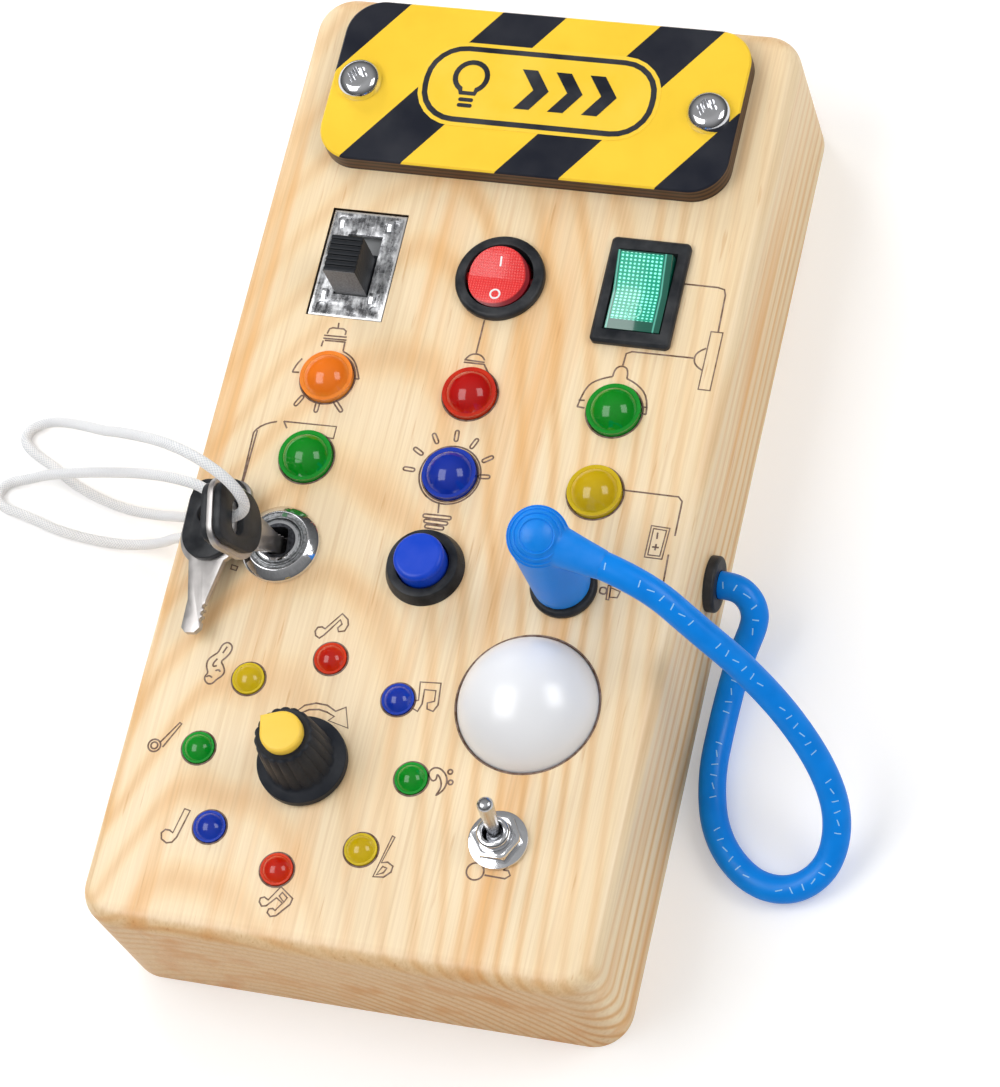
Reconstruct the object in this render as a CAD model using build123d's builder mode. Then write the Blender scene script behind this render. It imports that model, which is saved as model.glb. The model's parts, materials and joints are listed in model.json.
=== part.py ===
from build123d import *
import math
import os

# A wooden busy board: a pine block, routed out from the back, that carries switches,
# lamps, a key lock and a patch cord.  Millimetres, +Z out of the face, the origin at
# the middle of the back face, +Y towards the striped plate.

# ---------------------------------------------------------------- driving dimensions
# Pine block
board_width = 95.2
board_length = 188.4
board_depth = 32.2
board_corner_radius = 7.0
face_edge_radius = 3.0
side_wall = 8.2
front_wall = 5.0
pocket_corner_radius = 4.0
pocket_step_margin = 4.8
battery_pocket_gap = 1.4

# Columns and rows of the face, as shares of the block's width and length
left_column_share = -0.2815
middle_column_share = 0.0084
right_column_share = 0.2952
switch_row_share = 0.199
upper_lamp_row_share = 0.0738
lower_lamp_row_share = -0.0122
round_rocker_column_share = 0.0126
button_column_share = 0.0053
button_row_share = -0.1104
lock_column_share = -0.2868
lock_row_share = -0.1062
socket_column_share = 0.2784
socket_row_share = -0.1109
dome_row_share = -0.2314
toggle_column_share = 0.2679
toggle_row_share = -0.3668
selector_column_share = -0.1324
bead_ring_share = 0.21

# Clearances
running_fit = 0.05
slip_gap = 0.3
hole_gap = 0.2
seat_gap = 0.05

# Back cover and its screws
cover_thickness = 3.0
cover_margin = 2.6
cover_screw_head_diameter = 5.0
cover_screw_shank_diameter = 2.5
cover_screw_length = 13.0
cover_screw_inset = 3.3
cross_recess_length = 2.4
cross_recess_width = 0.7
cross_recess_depth = 0.9

# Striped plate and its screws
plate_width = 79.3
plate_length = 34.0
plate_thickness = 4.0
plate_corner_radius = 7.0
plate_top_margin = 3.0
plate_screw_spacing = 68.0
plate_screw_drop = 0.7
plate_screw_head_diameter = 8.4
plate_screw_head_height = 2.6
plate_screw_shank_diameter = 3.4
plate_screw_length = 15.0
plate_screw_crown = 2.1
plate_screw_taper = 1.0
plate_recess_depth = 1.6
plate_recess_radius = 1.45
plate_lobe_radius = 0.57
plate_lobe_ring = 1.37
plate_edge = 0.3

# Battery box, two AA cells
cell_diameter = 14.4
cell_length = 50.2
cell_tip_diameter = 5.4
cell_tip_height = 1.2
battery_wall = 1.5
battery_door_thickness = 1.8
battery_rim = 1.4
contact_thickness = 0.4
contact_height = 10.0
contact_tongue = 0.7
battery_top_gap = 3.05
door_screw_head_diameter = 4.6
door_screw_shank_diameter = 2.4
door_screw_length = 7.0
door_screw_offset = 1.15
door_boss_diameter = 6.0
door_grooves = 5
door_groove_pitch = 1.6
door_groove_length = 14.0

# Slide switch
slide_opening_width = 14.9
slide_opening_length = 22.4
slide_sheet = 0.7
slide_recess = 0.4
slide_knob_width = 6.2
slide_knob_length = 7.5
slide_knob_height = 9.2
slide_travel = 4.5
slide_foot_margin = 1.4
slide_foot_thickness = 1.2
slide_base_margin = 2.2
slide_base_thickness = 1.6
slide_knob_ribs = 6
slide_knob_groove = 0.5
slide_dimple_inset = 2.0
slide_dimple_diameter = 1.8

# Rockers
rocker_bezel_height = 1.6
rocker_wall = 1.0
rocker_floor = 2.2
rocker_throw = 20.0
rocker_pivot_depth = 0.5
rocker_crown = 1.9
rocker_belly_radius = 4.3
rocker_pin_diameter = 2.0
round_rocker_bezel_diameter = 16.9
round_rocker_paddle_diameter = 11.6
rect_rocker_bezel_width = 15.0
rect_rocker_bezel_length = 21.4
rect_rocker_paddle_width = 10.4
rect_rocker_paddle_length = 15.0
rocker_end_gap = 0.7
terminal_width = 4.0
terminal_thickness = 0.8
terminal_length = 6.5
terminal_spacing = 6.4

# Lamps
lamp_diameter = 10.0
lamp_rise = 6.2
lamp_flange_margin = 0.7
lamp_flange_thickness = 1.5
bead_diameter = 5.9
bead_rise = 3.4
bead_edge_gap = 2.15
bead_count = 8
lead_size = 0.5
lead_length = 6.0
lead_spacing = 2.5

# Push button
button_bezel_diameter = 14.7
button_bezel_height = 2.6
button_bezel_taper = 18.0
button_barrel_diameter = 11.8
button_cap_diameter = 9.3
button_cap_rise = 6.0
button_travel = 2.4
button_collar_diameter = 10.2
button_collar_thickness = 1.5
button_step_depth = 2.0
button_floor = 1.6
button_cap_edge = 1.0
spring_wire = 0.6
spring_turns = 3.5
spring_diameter = 6.4
nut_height = 2.6
nut_overlap = 2.2

# Key lock
lock_flange_diameter = 14.8
lock_flange_height = 2.4
lock_face_diameter = 12.0
lock_flange_edge = 0.8
lock_barrel_diameter = 11.4
lock_depth = 13.0
cylinder_diameter = 8.8
lock_ring_recess = 0.4
lock_cam_length = 8.0
lock_cam_width = 6.0
lock_cam_thickness = 1.5

# Keys
key_plate_thickness = 1.8
key_blade_width = 3.8
key_blade_length = 6.4
key_insertion = 6.0
key_neck_length = 6.6
key_bow_length = 17.0
key_bow_width = 13.0
key_bow_end_radius = 4.0
key_rim = 1.0
key_grip_thickness = 1.1
key_slot_length = 6.4
key_slot_width = 4.0
key_slot_from_end = 7.0
key_width_direction = 98.0
key_lean = 12.0
key_side_lean = 8.0
key_neck_width = 7.2
key_bits = 3
key_bit_pitch = 1.3
key_bit_radius = 0.45
spare_key_side = 11.3
spare_key_drop = 20.3
spare_key_tilt = 12.0
spare_key_heading = 2.0
spare_key_gap = 0.5
string_diameter = 2.0
string_hole_gap = 0.2
string_height = 15.0
string_hole_y = -10.0
spare_string_hole_y = -13.8

# Socket, plug and cord
socket_ring_diameter = 12.2
socket_ring_height = 1.5
socket_barrel_diameter = 8.0
socket_depth = 16.5
pin_diameter = 4.0
pin_length = 14.0
pin_grip = 8.0
pin_tip_radius = 1.6
boot_base_diameter = 10.6
boot_top_diameter = 11.0
boot_elbow_height = 22.2
boot_arm_length = 12.0
boot_arm_end_diameter = 6.2
boot_arm_root_diameter = 9.6
cord_lead_length = 8.7
cord_diameter = 5.1
arc_share = 0.45
boot_heading = -14.0
boot_droop = 9.0
grommet_y = -9.7
grommet_z = 14.2
grommet_flange_diameter = 10.4
grommet_flange_thickness = 2.0
grommet_neck_diameter = 7.6

# Dome light
dome_edge_gap = 0.4
dome_diameter = 25.4
dome_rise = 9.6
dome_wall = 1.4
dome_flange_margin = 1.4
dome_flange_thickness = 1.4
lamp_board_thickness = 1.2
lamp_board_chip = 5.0

# Toggle switch
toggle_bushing_diameter = 5.9
toggle_bushing_rise = 5.2
toggle_pivot_rise = 2.4
toggle_ball_diameter = 3.6
toggle_lever_length = 11.8
toggle_lever_root_diameter = 2.1
toggle_lever_tip_diameter = 3.1
toggle_lever_tip_radius = 1.2
toggle_throw = 22.0
toggle_tail_length = 4.0
toggle_washer_diameter = 10.7
toggle_washer_thickness = 0.8
toggle_nut_flats = 8.0
toggle_nut_height = 2.4
nut_corner_share = 1.16
nut_corner_taper = 6.0
toggle_body_width = 7.8
toggle_body_length = 13.2
toggle_body_height = 9.5
toggle_body_wall = 1.2

# Selector
selector_shaft_diameter = 6.0
selector_flat_offset = 1.5
selector_bushing_diameter = 8.0
selector_bushing_rise = 3.0
selector_body_diameter = 17.0
selector_body_height = 8.0
selector_nut_flats = 11.0
selector_nut_height = 2.0
knob_skirt_diameter = 16.4
knob_skirt_height = 2.4
knob_skirt_taper = 30.0
knob_grip_diameter = 12.8
knob_top_diameter = 11.2
knob_height = 14.4
knob_flutes = 18
knob_flute_radius = 0.55
knob_shell = 1.6
pointer_diameter = 9.4
pointer_reach = 6.2
pointer_height = 2.4
pointer_edge = 0.8
pointer_angle = 151.0

# Circuit board and wires
circuit_width = 44.0
circuit_length = 14.0
circuit_thickness = 1.6
circuit_margin = 4.0
circuit_standoff = 4.0
circuit_edge_gap = 3.0
circuit_x = -2.0
wire_diameter = 1.3
wire_pitch = 6.0
wire_rise = 3.4
wire_layer = 1.8
wire_bend = 1.5

# ---------------------------------------------------------------- derived places
face_z = board_depth
ceiling_z = board_depth - front_wall
pocket_floor_z = cover_thickness
half_width = board_width / 2
half_length = board_length / 2
pocket_width = board_width - 2 * side_wall
pocket_bottom_y = -half_length + side_wall
pocket_top_y = half_length - side_wall
cover_width = board_width - 2 * cover_margin
cover_length = board_length - 2 * cover_margin
cover_corner_radius = board_corner_radius - cover_margin

left_column_x = board_width * left_column_share
middle_column_x = board_width * middle_column_share
right_column_x = board_width * right_column_share
switch_row_y = board_length * switch_row_share
upper_lamp_row_y = board_length * upper_lamp_row_share
lower_lamp_row_y = board_length * lower_lamp_row_share
round_rocker_x = board_width * round_rocker_column_share
plate_center_y = half_length - plate_top_margin - plate_length / 2
plate_screw_y = plate_center_y - plate_screw_drop
pocket_step_y = switch_row_y + slide_opening_length / 2 + slide_base_margin + pocket_step_margin
bead_ring_radius = board_width * bead_ring_share
bead_flange_radius = bead_diameter / 2 + lamp_flange_margin
selector_x = board_width * selector_column_share
selector_y = pocket_bottom_y + bead_edge_gap + bead_flange_radius + bead_ring_radius
circuit_y = pocket_bottom_y + circuit_edge_gap + circuit_length / 2

led_floor_z = ceiling_z - lamp_flange_thickness

orange_lamps = [(left_column_x, upper_lamp_row_y)]
red_lamps = [(middle_column_x, upper_lamp_row_y)]
green_lamps = [(right_column_x, upper_lamp_row_y), (left_column_x, lower_lamp_row_y)]
blue_lamps = [(middle_column_x, lower_lamp_row_y)]
yellow_lamps = [(right_column_x, lower_lamp_row_y)]
all_lamps = orange_lamps + red_lamps + green_lamps + blue_lamps + yellow_lamps


def bead_place(step):
    # Beads stand clockwise from the top of a circle around the selector.
    angle = math.radians(90 - step * 360 / bead_count)
    return (selector_x + bead_ring_radius * math.cos(angle), selector_y + bead_ring_radius * math.sin(angle))


red_beads = [bead_place(0), bead_place(4)]
blue_beads = [bead_place(1), bead_place(5)]
green_beads = [bead_place(2), bead_place(6)]
yellow_beads = [bead_place(3), bead_place(7)]
all_beads = red_beads + blue_beads + green_beads + yellow_beads

slide_center = (left_column_x, switch_row_y)
slide_frame_width = slide_opening_width - 2 * slip_gap
slide_frame_length = slide_opening_length - 2 * slip_gap
slide_frame_top_z = face_z - slide_recess
slide_slot_width = slide_knob_width + 2 * slip_gap
slide_slot_length = slide_knob_length + slide_travel + 2 * slip_gap
slide_foot_top_z = slide_frame_top_z - slide_sheet - slip_gap
slide_foot_floor_z = slide_foot_top_z - slide_foot_thickness

rocker_pivot_z = face_z - rocker_pivot_depth
rocker_cavity_floor_z = rocker_pivot_z - rocker_belly_radius - slip_gap
rocker_bottom_z = rocker_cavity_floor_z - rocker_floor
round_cavity_diameter = round_rocker_paddle_diameter + 2 * rocker_end_gap
round_barrel_diameter = round_cavity_diameter + 2 * rocker_wall
rect_cavity_width = rect_rocker_paddle_width + 2 * slip_gap
rect_cavity_length = rect_rocker_paddle_length + 2 * rocker_end_gap
rect_barrel_width = rect_cavity_width + 2 * rocker_wall
rect_barrel_length = rect_cavity_length + 2 * rocker_wall

button_center = (board_width * button_column_share, board_length * button_row_share)
button_collar_top_z = face_z - button_step_depth - slip_gap
button_collar_floor_z = button_collar_top_z - button_collar_thickness
spring_solid_height = spring_wire * (spring_turns + 1)
button_floor_z = button_collar_floor_z - button_travel - spring_solid_height - slip_gap
button_bottom_z = button_floor_z - button_floor
button_bore_diameter = button_cap_diameter + 2 * slip_gap
button_lower_bore_diameter = button_collar_diameter + 2 * running_fit
button_nut_flats = button_barrel_diameter + nut_overlap

lock_center = (board_width * lock_column_share, board_length * lock_row_share)
lock_top_z = face_z + lock_flange_height
lock_nut_flats = lock_barrel_diameter + nut_overlap

socket_center = (board_width * socket_column_share, board_length * socket_row_share)
socket_top_z = face_z + socket_ring_height
socket_nut_flats = socket_barrel_diameter + nut_overlap

dome_flange_radius = dome_diameter / 2 + dome_flange_margin
dome_center = (half_width - side_wall - dome_edge_gap - dome_flange_radius, board_length * dome_row_share)
toggle_center = (board_width * toggle_column_share, board_length * toggle_row_share)
toggle_pivot_z = face_z + toggle_pivot_rise
selector_center = (selector_x, selector_y)

battery_inner_width = cell_length + cell_tip_height + 2 * (contact_thickness + contact_tongue + seat_gap)
battery_inner_length = 2 * cell_diameter + 3 * slip_gap
battery_outer_width = battery_inner_width + 2 * battery_wall
battery_outer_length = battery_inner_length + 2 * battery_wall
battery_center_y = pocket_top_y - battery_top_gap - battery_outer_length / 2
battery_cell_z = battery_door_thickness + slip_gap + cell_diameter / 2
battery_top_z = battery_cell_z + cell_diameter / 2 + battery_wall
battery_door_width = battery_outer_width - battery_rim
battery_door_length = battery_outer_length - battery_rim
battery_pocket_width = battery_outer_width + 2 * battery_pocket_gap
door_screw_y = battery_center_y - battery_outer_length / 2 - door_screw_offset


def screw_places():
    # Six screws near the rim of the back cover, in the wood outside the pocket.
    x = cover_width / 2 - cover_screw_inset
    y = cover_length / 2 - cover_screw_inset
    return [(-x, -y), (x, -y), (-x, 0), (x, 0), (-x, y), (x, y)]


os.makedirs("parts", exist_ok=True)

# ---------------------------------------------------------------- pine block
with BuildPart() as wooden_body:
    with BuildSketch(Plane.XY):
        RectangleRounded(board_width, board_length, board_corner_radius)
    extrude(amount=board_depth)
    fillet(wooden_body.faces().sort_by(Axis.Z)[-1].edges(), radius=face_edge_radius)
    # rabbet for the back cover
    with BuildSketch(Plane.XY):
        RectangleRounded(cover_width + 2 * hole_gap, cover_length + 2 * hole_gap, cover_corner_radius)
    extrude(amount=cover_thickness, mode=Mode.SUBTRACT)
    # pocket, wide under the switches and narrow under the striped plate
    with BuildSketch(Plane.XY.offset(pocket_floor_z)):
        with Locations((0, (pocket_bottom_y + pocket_step_y) / 2)):
            RectangleRounded(pocket_width, pocket_step_y - pocket_bottom_y, pocket_corner_radius)
        with Locations((0, (pocket_step_y + pocket_top_y) / 2 - pocket_corner_radius)):
            RectangleRounded(
                battery_pocket_width,
                pocket_top_y - pocket_step_y + 2 * pocket_corner_radius,
                pocket_corner_radius,
            )
    extrude(amount=ceiling_z - pocket_floor_z, mode=Mode.SUBTRACT)
    # openings through the face
    with BuildSketch(Plane.XY.offset(ceiling_z)):
        with Locations(slide_center):
            Rectangle(slide_opening_width, slide_opening_length)
        with Locations((round_rocker_x, switch_row_y)):
            Circle(round_barrel_diameter / 2 + hole_gap)
        with Locations((right_column_x, switch_row_y)):
            Rectangle(rect_barrel_width + 2 * hole_gap, rect_barrel_length + 2 * hole_gap)
        with Locations(*all_lamps):
            Circle(lamp_diameter / 2 + hole_gap)
        with Locations(*all_beads):
            Circle(bead_diameter / 2 + hole_gap)
        with Locations(button_center):
            Circle(button_barrel_diameter / 2 + hole_gap)
        with Locations(lock_center):
            Circle(lock_barrel_diameter / 2 + hole_gap)
        with Locations(socket_center):
            Circle(socket_barrel_diameter / 2 + hole_gap)
        with Locations(dome_center):
            Circle(dome_diameter / 2 + hole_gap)
        with Locations(toggle_center):
            Circle(toggle_bushing_diameter / 2 + hole_gap)
        with Locations(selector_center):
            Circle(selector_bushing_diameter / 2 + hole_gap)
    extrude(amount=front_wall, mode=Mode.SUBTRACT)
    # pilot holes of the plate screws
    with BuildSketch(Plane.XY.offset(face_z)):
        with Locations((-plate_screw_spacing / 2, plate_screw_y), (plate_screw_spacing / 2, plate_screw_y)):
            Circle(plate_screw_shank_diameter / 2 + seat_gap)
    extrude(amount=-(plate_screw_length - plate_thickness + slip_gap), mode=Mode.SUBTRACT)
    # pilot holes of the cover screws
    with BuildSketch(Plane.XY.offset(cover_thickness)):
        with Locations(*screw_places()):
            Circle(cover_screw_shank_diameter / 2 + seat_gap)
    extrude(amount=cover_screw_length - cover_thickness + slip_gap, mode=Mode.SUBTRACT)
    # cord hole in the right wall and two string holes in the left wall
    with BuildSketch(Plane.YZ.offset(half_width)):
        with Locations((grommet_y, grommet_z)):
            Circle(grommet_neck_diameter / 2 + seat_gap)
    extrude(amount=-side_wall, mode=Mode.SUBTRACT)
    with BuildSketch(Plane.YZ.offset(-half_width)):
        with Locations((string_hole_y, string_height), (spare_string_hole_y, string_height)):
            Circle(string_diameter / 2 + string_hole_gap)
    extrude(amount=side_wall, mode=Mode.SUBTRACT)
wooden_body.part.label = "wooden_body"
export_step(wooden_body.part, "parts/wooden_body.step")

# ---------------------------------------------------------------- back cover
with BuildPart() as back_cover:
    with BuildSketch(Plane.XY):
        RectangleRounded(cover_width, cover_length, cover_corner_radius)
    extrude(amount=cover_thickness - seat_gap)
    with BuildSketch(Plane.XY):
        with Locations((0, battery_center_y)):
            Rectangle(battery_outer_width + 2 * seat_gap, battery_outer_length + 2 * seat_gap)
        with Locations((0, door_screw_y)):
            Circle(door_boss_diameter / 2 + seat_gap)
    extrude(amount=cover_thickness, mode=Mode.SUBTRACT)
    with Locations(Plane((0, 0, 0), z_dir=(0, 0, -1))):
        with Locations(*[(x, -y) for x, y in screw_places()]):
            CounterSinkHole(
                cover_screw_shank_diameter / 2 + seat_gap, cover_screw_head_diameter / 2 + seat_gap
            )
back_cover.part.label = "back_cover"
export_step(back_cover.part, "parts/back_cover.step")

with BuildPart() as back_cover_screws:
    with Locations(*[(x, y, 0) for x, y in screw_places()]):
        head_height = (cover_screw_head_diameter - cover_screw_shank_diameter) / 2
        Cone(
            cover_screw_head_diameter / 2,
            cover_screw_shank_diameter / 2,
            head_height,
            align=(Align.CENTER, Align.CENTER, Align.MIN),
        )
        Cylinder(
            cover_screw_shank_diameter / 2,
            cover_screw_length,
            align=(Align.CENTER, Align.CENTER, Align.MIN),
        )
        # cross recess
        for turn in (0, 90):
            Box(
                cross_recess_length,
                cross_recess_width,
                cross_recess_depth,
                rotation=(0, 0, turn),
                align=(Align.CENTER, Align.CENTER, Align.MIN),
                mode=Mode.SUBTRACT,
            )
back_cover_screws.part.label = "back_cover_screws"
export_step(back_cover_screws.part, "parts/back_cover_screws.step")

# ---------------------------------------------------------------- striped plate
with BuildPart() as warning_plate:
    with BuildSketch(Plane.XY.offset(face_z)):
        with Locations((0, plate_center_y)):
            RectangleRounded(plate_width, plate_length, plate_corner_radius)
        with Locations((-plate_screw_spacing / 2, plate_screw_y), (plate_screw_spacing / 2, plate_screw_y)):
            Circle(plate_screw_shank_diameter / 2 + hole_gap, mode=Mode.SUBTRACT)
    extrude(amount=plate_thickness)
    chamfer(warning_plate.faces().sort_by(Axis.Z)[-1].outer_wire().edges(), length=plate_edge)
warning_plate.part.label = "warning_plate"
export_step(warning_plate.part, "parts/warning_plate.step")

plate_top_z = face_z + plate_thickness
with BuildPart() as plate_screws:
    with BuildSketch(Plane.XY.offset(plate_top_z)):
        with Locations((-plate_screw_spacing / 2, plate_screw_y), (plate_screw_spacing / 2, plate_screw_y)):
            Circle(plate_screw_head_diameter / 2)
    extrude(amount=plate_screw_head_height)
    fillet(
        plate_screws.faces().group_by(Axis.Z)[-1].edges(),
        radius=plate_screw_crown,
    )
    # six-lobe recess
    with BuildSketch(Plane.XY.offset(plate_top_z + plate_screw_head_height)):
        with Locations((-plate_screw_spacing / 2, plate_screw_y), (plate_screw_spacing / 2, plate_screw_y)):
            Circle(plate_recess_radius)
            with PolarLocations(plate_lobe_ring, 6):
                Circle(plate_lobe_radius)
    extrude(amount=-plate_recess_depth, mode=Mode.SUBTRACT)
    with BuildSketch(Plane.XY.offset(plate_top_z)):
        with Locations((-plate_screw_spacing / 2, plate_screw_y), (plate_screw_spacing / 2, plate_screw_y)):
            Circle(plate_screw_shank_diameter / 2)
    extrude(amount=-plate_screw_length, taper=plate_screw_taper)
plate_screws.part.label = "plate_screws"
export_step(plate_screws.part, "parts/plate_screws.step")

# ---------------------------------------------------------------- battery box
battery_plane = Plane((0, battery_center_y, 0))
door_screw_plane = Plane((0, door_screw_y, 0))
with BuildPart() as battery_box:
    with BuildSketch(battery_plane):
        Rectangle(battery_outer_width, battery_outer_length)
    extrude(amount=battery_top_z)
    # boss of the door screw, outside the lower wall
    with BuildSketch(door_screw_plane.offset(battery_door_thickness)):
        Circle(door_boss_diameter / 2)
    extrude(amount=door_screw_length)
    with BuildSketch(battery_plane):
        Rectangle(battery_inner_width, battery_inner_length)
    extrude(amount=battery_top_z - battery_wall, mode=Mode.SUBTRACT)
    # rebate for the door
    with BuildSketch(battery_plane):
        Rectangle(battery_door_width + 2 * seat_gap, battery_door_length + 2 * seat_gap)
    extrude(amount=battery_door_thickness, mode=Mode.SUBTRACT)
    with BuildSketch(door_screw_plane):
        Circle(door_boss_diameter / 2 + seat_gap)
    extrude(amount=battery_door_thickness, mode=Mode.SUBTRACT)
    with BuildSketch(door_screw_plane):
        Circle(door_screw_shank_diameter / 2 + seat_gap)
    extrude(amount=door_screw_length, mode=Mode.SUBTRACT)
battery_box.part.label = "battery_box"
export_step(battery_box.part, "parts/battery_box.step")

cell_row = cell_diameter / 2 + slip_gap / 2
with BuildPart() as battery_cells:
    for side in (-1, 1):
        place = Plane(
            (-side * (cell_length + cell_tip_height) / 2, battery_center_y + side * cell_row, battery_cell_z),
            x_dir=(0, 1, 0),
            z_dir=(side, 0, 0),
        )
        with BuildSketch(place):
            Circle(cell_diameter / 2)
        extrude(amount=cell_length)
        with BuildSketch(place.offset(cell_length)):
            Circle(cell_tip_diameter / 2)
        extrude(amount=cell_tip_height)
battery_cells.part.label = "battery_cells"
export_step(battery_cells.part, "parts/battery_cells.step")

with BuildPart() as battery_contacts:
    for side in (-1, 1):
        with Locations(
            (side * (battery_inner_width - contact_thickness) / 2, battery_center_y, battery_cell_z)
        ):
            Box(contact_thickness, battery_inner_length - 2 * slip_gap, contact_height)
        # sprung tongues that press on the cell ends
        tongue_x = side * (battery_inner_width / 2 - contact_thickness - contact_tongue / 2)
        with Locations(
            (tongue_x, battery_center_y - cell_row, battery_cell_z),
            (tongue_x, battery_center_y + cell_row, battery_cell_z),
        ):
            Box(contact_tongue, cell_tip_diameter, cell_tip_diameter)
battery_contacts.part.label = "battery_contacts"
export_step(battery_contacts.part, "parts/battery_contacts.step")

with BuildPart() as battery_door:
    with BuildSketch(battery_plane):
        Rectangle(battery_door_width, battery_door_length)
    with BuildSketch(door_screw_plane):
        Circle(door_boss_diameter / 2)
    extrude(amount=battery_door_thickness - seat_gap)
    with Locations(Plane((0, door_screw_y, 0), z_dir=(0, 0, -1))):
        CounterSinkHole(door_screw_shank_diameter / 2 + hole_gap, door_screw_head_diameter / 2 + hole_gap)
    # finger grooves
    for step in range(door_grooves):
        with Locations((0, battery_center_y + door_groove_pitch * (step + 0.5), 0)):
            Box(door_groove_length, door_groove_pitch / 2, battery_door_thickness, mode=Mode.SUBTRACT)
battery_door.part.label = "battery_door"
export_step(battery_door.part, "parts/battery_door.step")

with BuildPart() as battery_door_screw:
    with Locations((0, door_screw_y, 0)):
        Cone(
            door_screw_head_diameter / 2,
            door_screw_shank_diameter / 2,
            (door_screw_head_diameter - door_screw_shank_diameter) / 2,
            align=(Align.CENTER, Align.CENTER, Align.MIN),
        )
        Cylinder(
            door_screw_shank_diameter / 2,
            door_screw_length,
            align=(Align.CENTER, Align.CENTER, Align.MIN),
        )
        for turn in (0, 90):
            Box(
                cross_recess_length,
                cross_recess_width,
                cross_recess_depth,
                rotation=(0, 0, turn),
                align=(Align.CENTER, Align.CENTER, Align.MIN),
                mode=Mode.SUBTRACT,
            )
battery_door_screw.part.label = "battery_door_screw"
export_step(battery_door_screw.part, "parts/battery_door_screw.step")

# ---------------------------------------------------------------- slide switch
slide_plane = Plane((slide_center[0], slide_center[1], 0))
with BuildPart() as slide_switch_frame:
    with BuildSketch(slide_plane.offset(ceiling_z)):
        Rectangle(slide_frame_width, slide_frame_length)
    extrude(amount=slide_frame_top_z - ceiling_z)
    with BuildSketch(slide_plane.offset(ceiling_z)):
        Rectangle(slide_frame_width - 2 * slide_sheet, slide_frame_length - 2 * slide_sheet)
    extrude(amount=slide_frame_top_z - ceiling_z - slide_sheet, mode=Mode.SUBTRACT)
    with BuildSketch(slide_plane.offset(ceiling_z)):
        Rectangle(slide_slot_width, slide_slot_length)
    extrude(amount=slide_frame_top_z - ceiling_z, mode=Mode.SUBTRACT)
    # punched dimples in the four corners
    with BuildSketch(slide_plane.offset(slide_frame_top_z)):
        with GridLocations(
            slide_frame_width - 2 * slide_dimple_inset, slide_frame_length - 2 * slide_dimple_inset, 2, 2
        ):
            Circle(slide_dimple_diameter / 2)
    extrude(amount=-slide_sheet / 2, mode=Mode.SUBTRACT)
slide_switch_frame.part.label = "slide_switch_frame"
export_step(slide_switch_frame.part, "parts/slide_switch_frame.step")

with BuildPart() as slide_switch_base:
    with BuildSketch(slide_plane.offset(ceiling_z - slide_base_thickness)):
        Rectangle(
            slide_opening_width + 2 * slide_base_margin, slide_opening_length + 2 * slide_base_margin
        )
    extrude(amount=slide_base_thickness)
    with BuildSketch(slide_plane.offset(ceiling_z)):
        Rectangle(
            slide_frame_width - 2 * slide_sheet - slip_gap, slide_frame_length - 2 * slide_sheet - slip_gap
        )
    extrude(amount=slide_foot_floor_z - running_fit - ceiling_z)
    # solder tags
    with BuildSketch(slide_plane.offset(ceiling_z - slide_base_thickness)):
        with GridLocations(terminal_width, terminal_spacing, 2, 3):
            Rectangle(terminal_thickness, terminal_width / 2)
    extrude(amount=-terminal_length / 2)
slide_switch_base.part.label = "slide_switch_base"
export_step(slide_switch_base.part, "parts/slide_switch_base.step")

slide_tag_z = ceiling_z - slide_base_thickness - terminal_length / 2
slide_knob_y = slide_center[1] - slide_travel / 2
slide_knob_plane = Plane((slide_center[0], slide_knob_y, 0))
with BuildPart() as slide_switch_knob:
    with BuildSketch(slide_knob_plane.offset(slide_foot_floor_z)):
        Rectangle(slide_knob_width + 2 * slide_foot_margin, slide_knob_length + 2 * slide_foot_margin)
    extrude(amount=slide_foot_thickness)
    with BuildSketch(slide_knob_plane.offset(slide_foot_floor_z)):
        Rectangle(slide_knob_width, slide_knob_length)
    extrude(amount=slide_frame_top_z + slide_knob_height - slide_foot_floor_z)
    knob_top = slide_switch_knob.faces().sort_by(Axis.Z)[-1]
    chamfer(knob_top.edges(), length=slide_knob_groove / 2)
    # finger grooves across the top
    with BuildSketch(slide_knob_plane.offset(slide_frame_top_z + slide_knob_height)):
        with GridLocations(0, slide_knob_length / (slide_knob_ribs + 1), 1, slide_knob_ribs):
            Rectangle(2 * slide_knob_width, slide_knob_groove)
    extrude(amount=-slide_knob_groove, mode=Mode.SUBTRACT)
slide_switch_knob.part.label = "slide_switch_knob"
export_step(slide_switch_knob.part, "parts/slide_switch_knob.step")

# ---------------------------------------------------------------- round rocker
round_plane = Plane((round_rocker_x, switch_row_y, 0))
with BuildPart() as round_rocker_housing:
    with BuildSketch(round_plane.offset(rocker_bottom_z)):
        Circle(round_barrel_diameter / 2)
    extrude(amount=face_z - rocker_bottom_z)
    with BuildSketch(round_plane.offset(face_z)):
        Circle(round_rocker_bezel_diameter / 2)
    extrude(amount=rocker_bezel_height)
    bezel_rim = round_rocker_housing.faces().sort_by(Axis.Z)[-1].edges()
    fillet(bezel_rim, radius=rocker_bezel_height / 2)
    with BuildSketch(round_plane.offset(rocker_cavity_floor_z)):
        Circle(round_cavity_diameter / 2)
    extrude(amount=face_z + rocker_bezel_height - rocker_cavity_floor_z, mode=Mode.SUBTRACT)
    # pin holes
    with BuildSketch(Plane.YZ.offset(round_rocker_x)):
        with Locations((switch_row_y, rocker_pivot_z)):
            Circle(rocker_pin_diameter / 2 + running_fit)
    extrude(amount=round_barrel_diameter / 2 - rocker_wall / 4, both=True, mode=Mode.SUBTRACT)
round_rocker_housing.part.label = "round_rocker_housing"
export_step(round_rocker_housing.part, "parts/round_rocker_housing.step")


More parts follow.
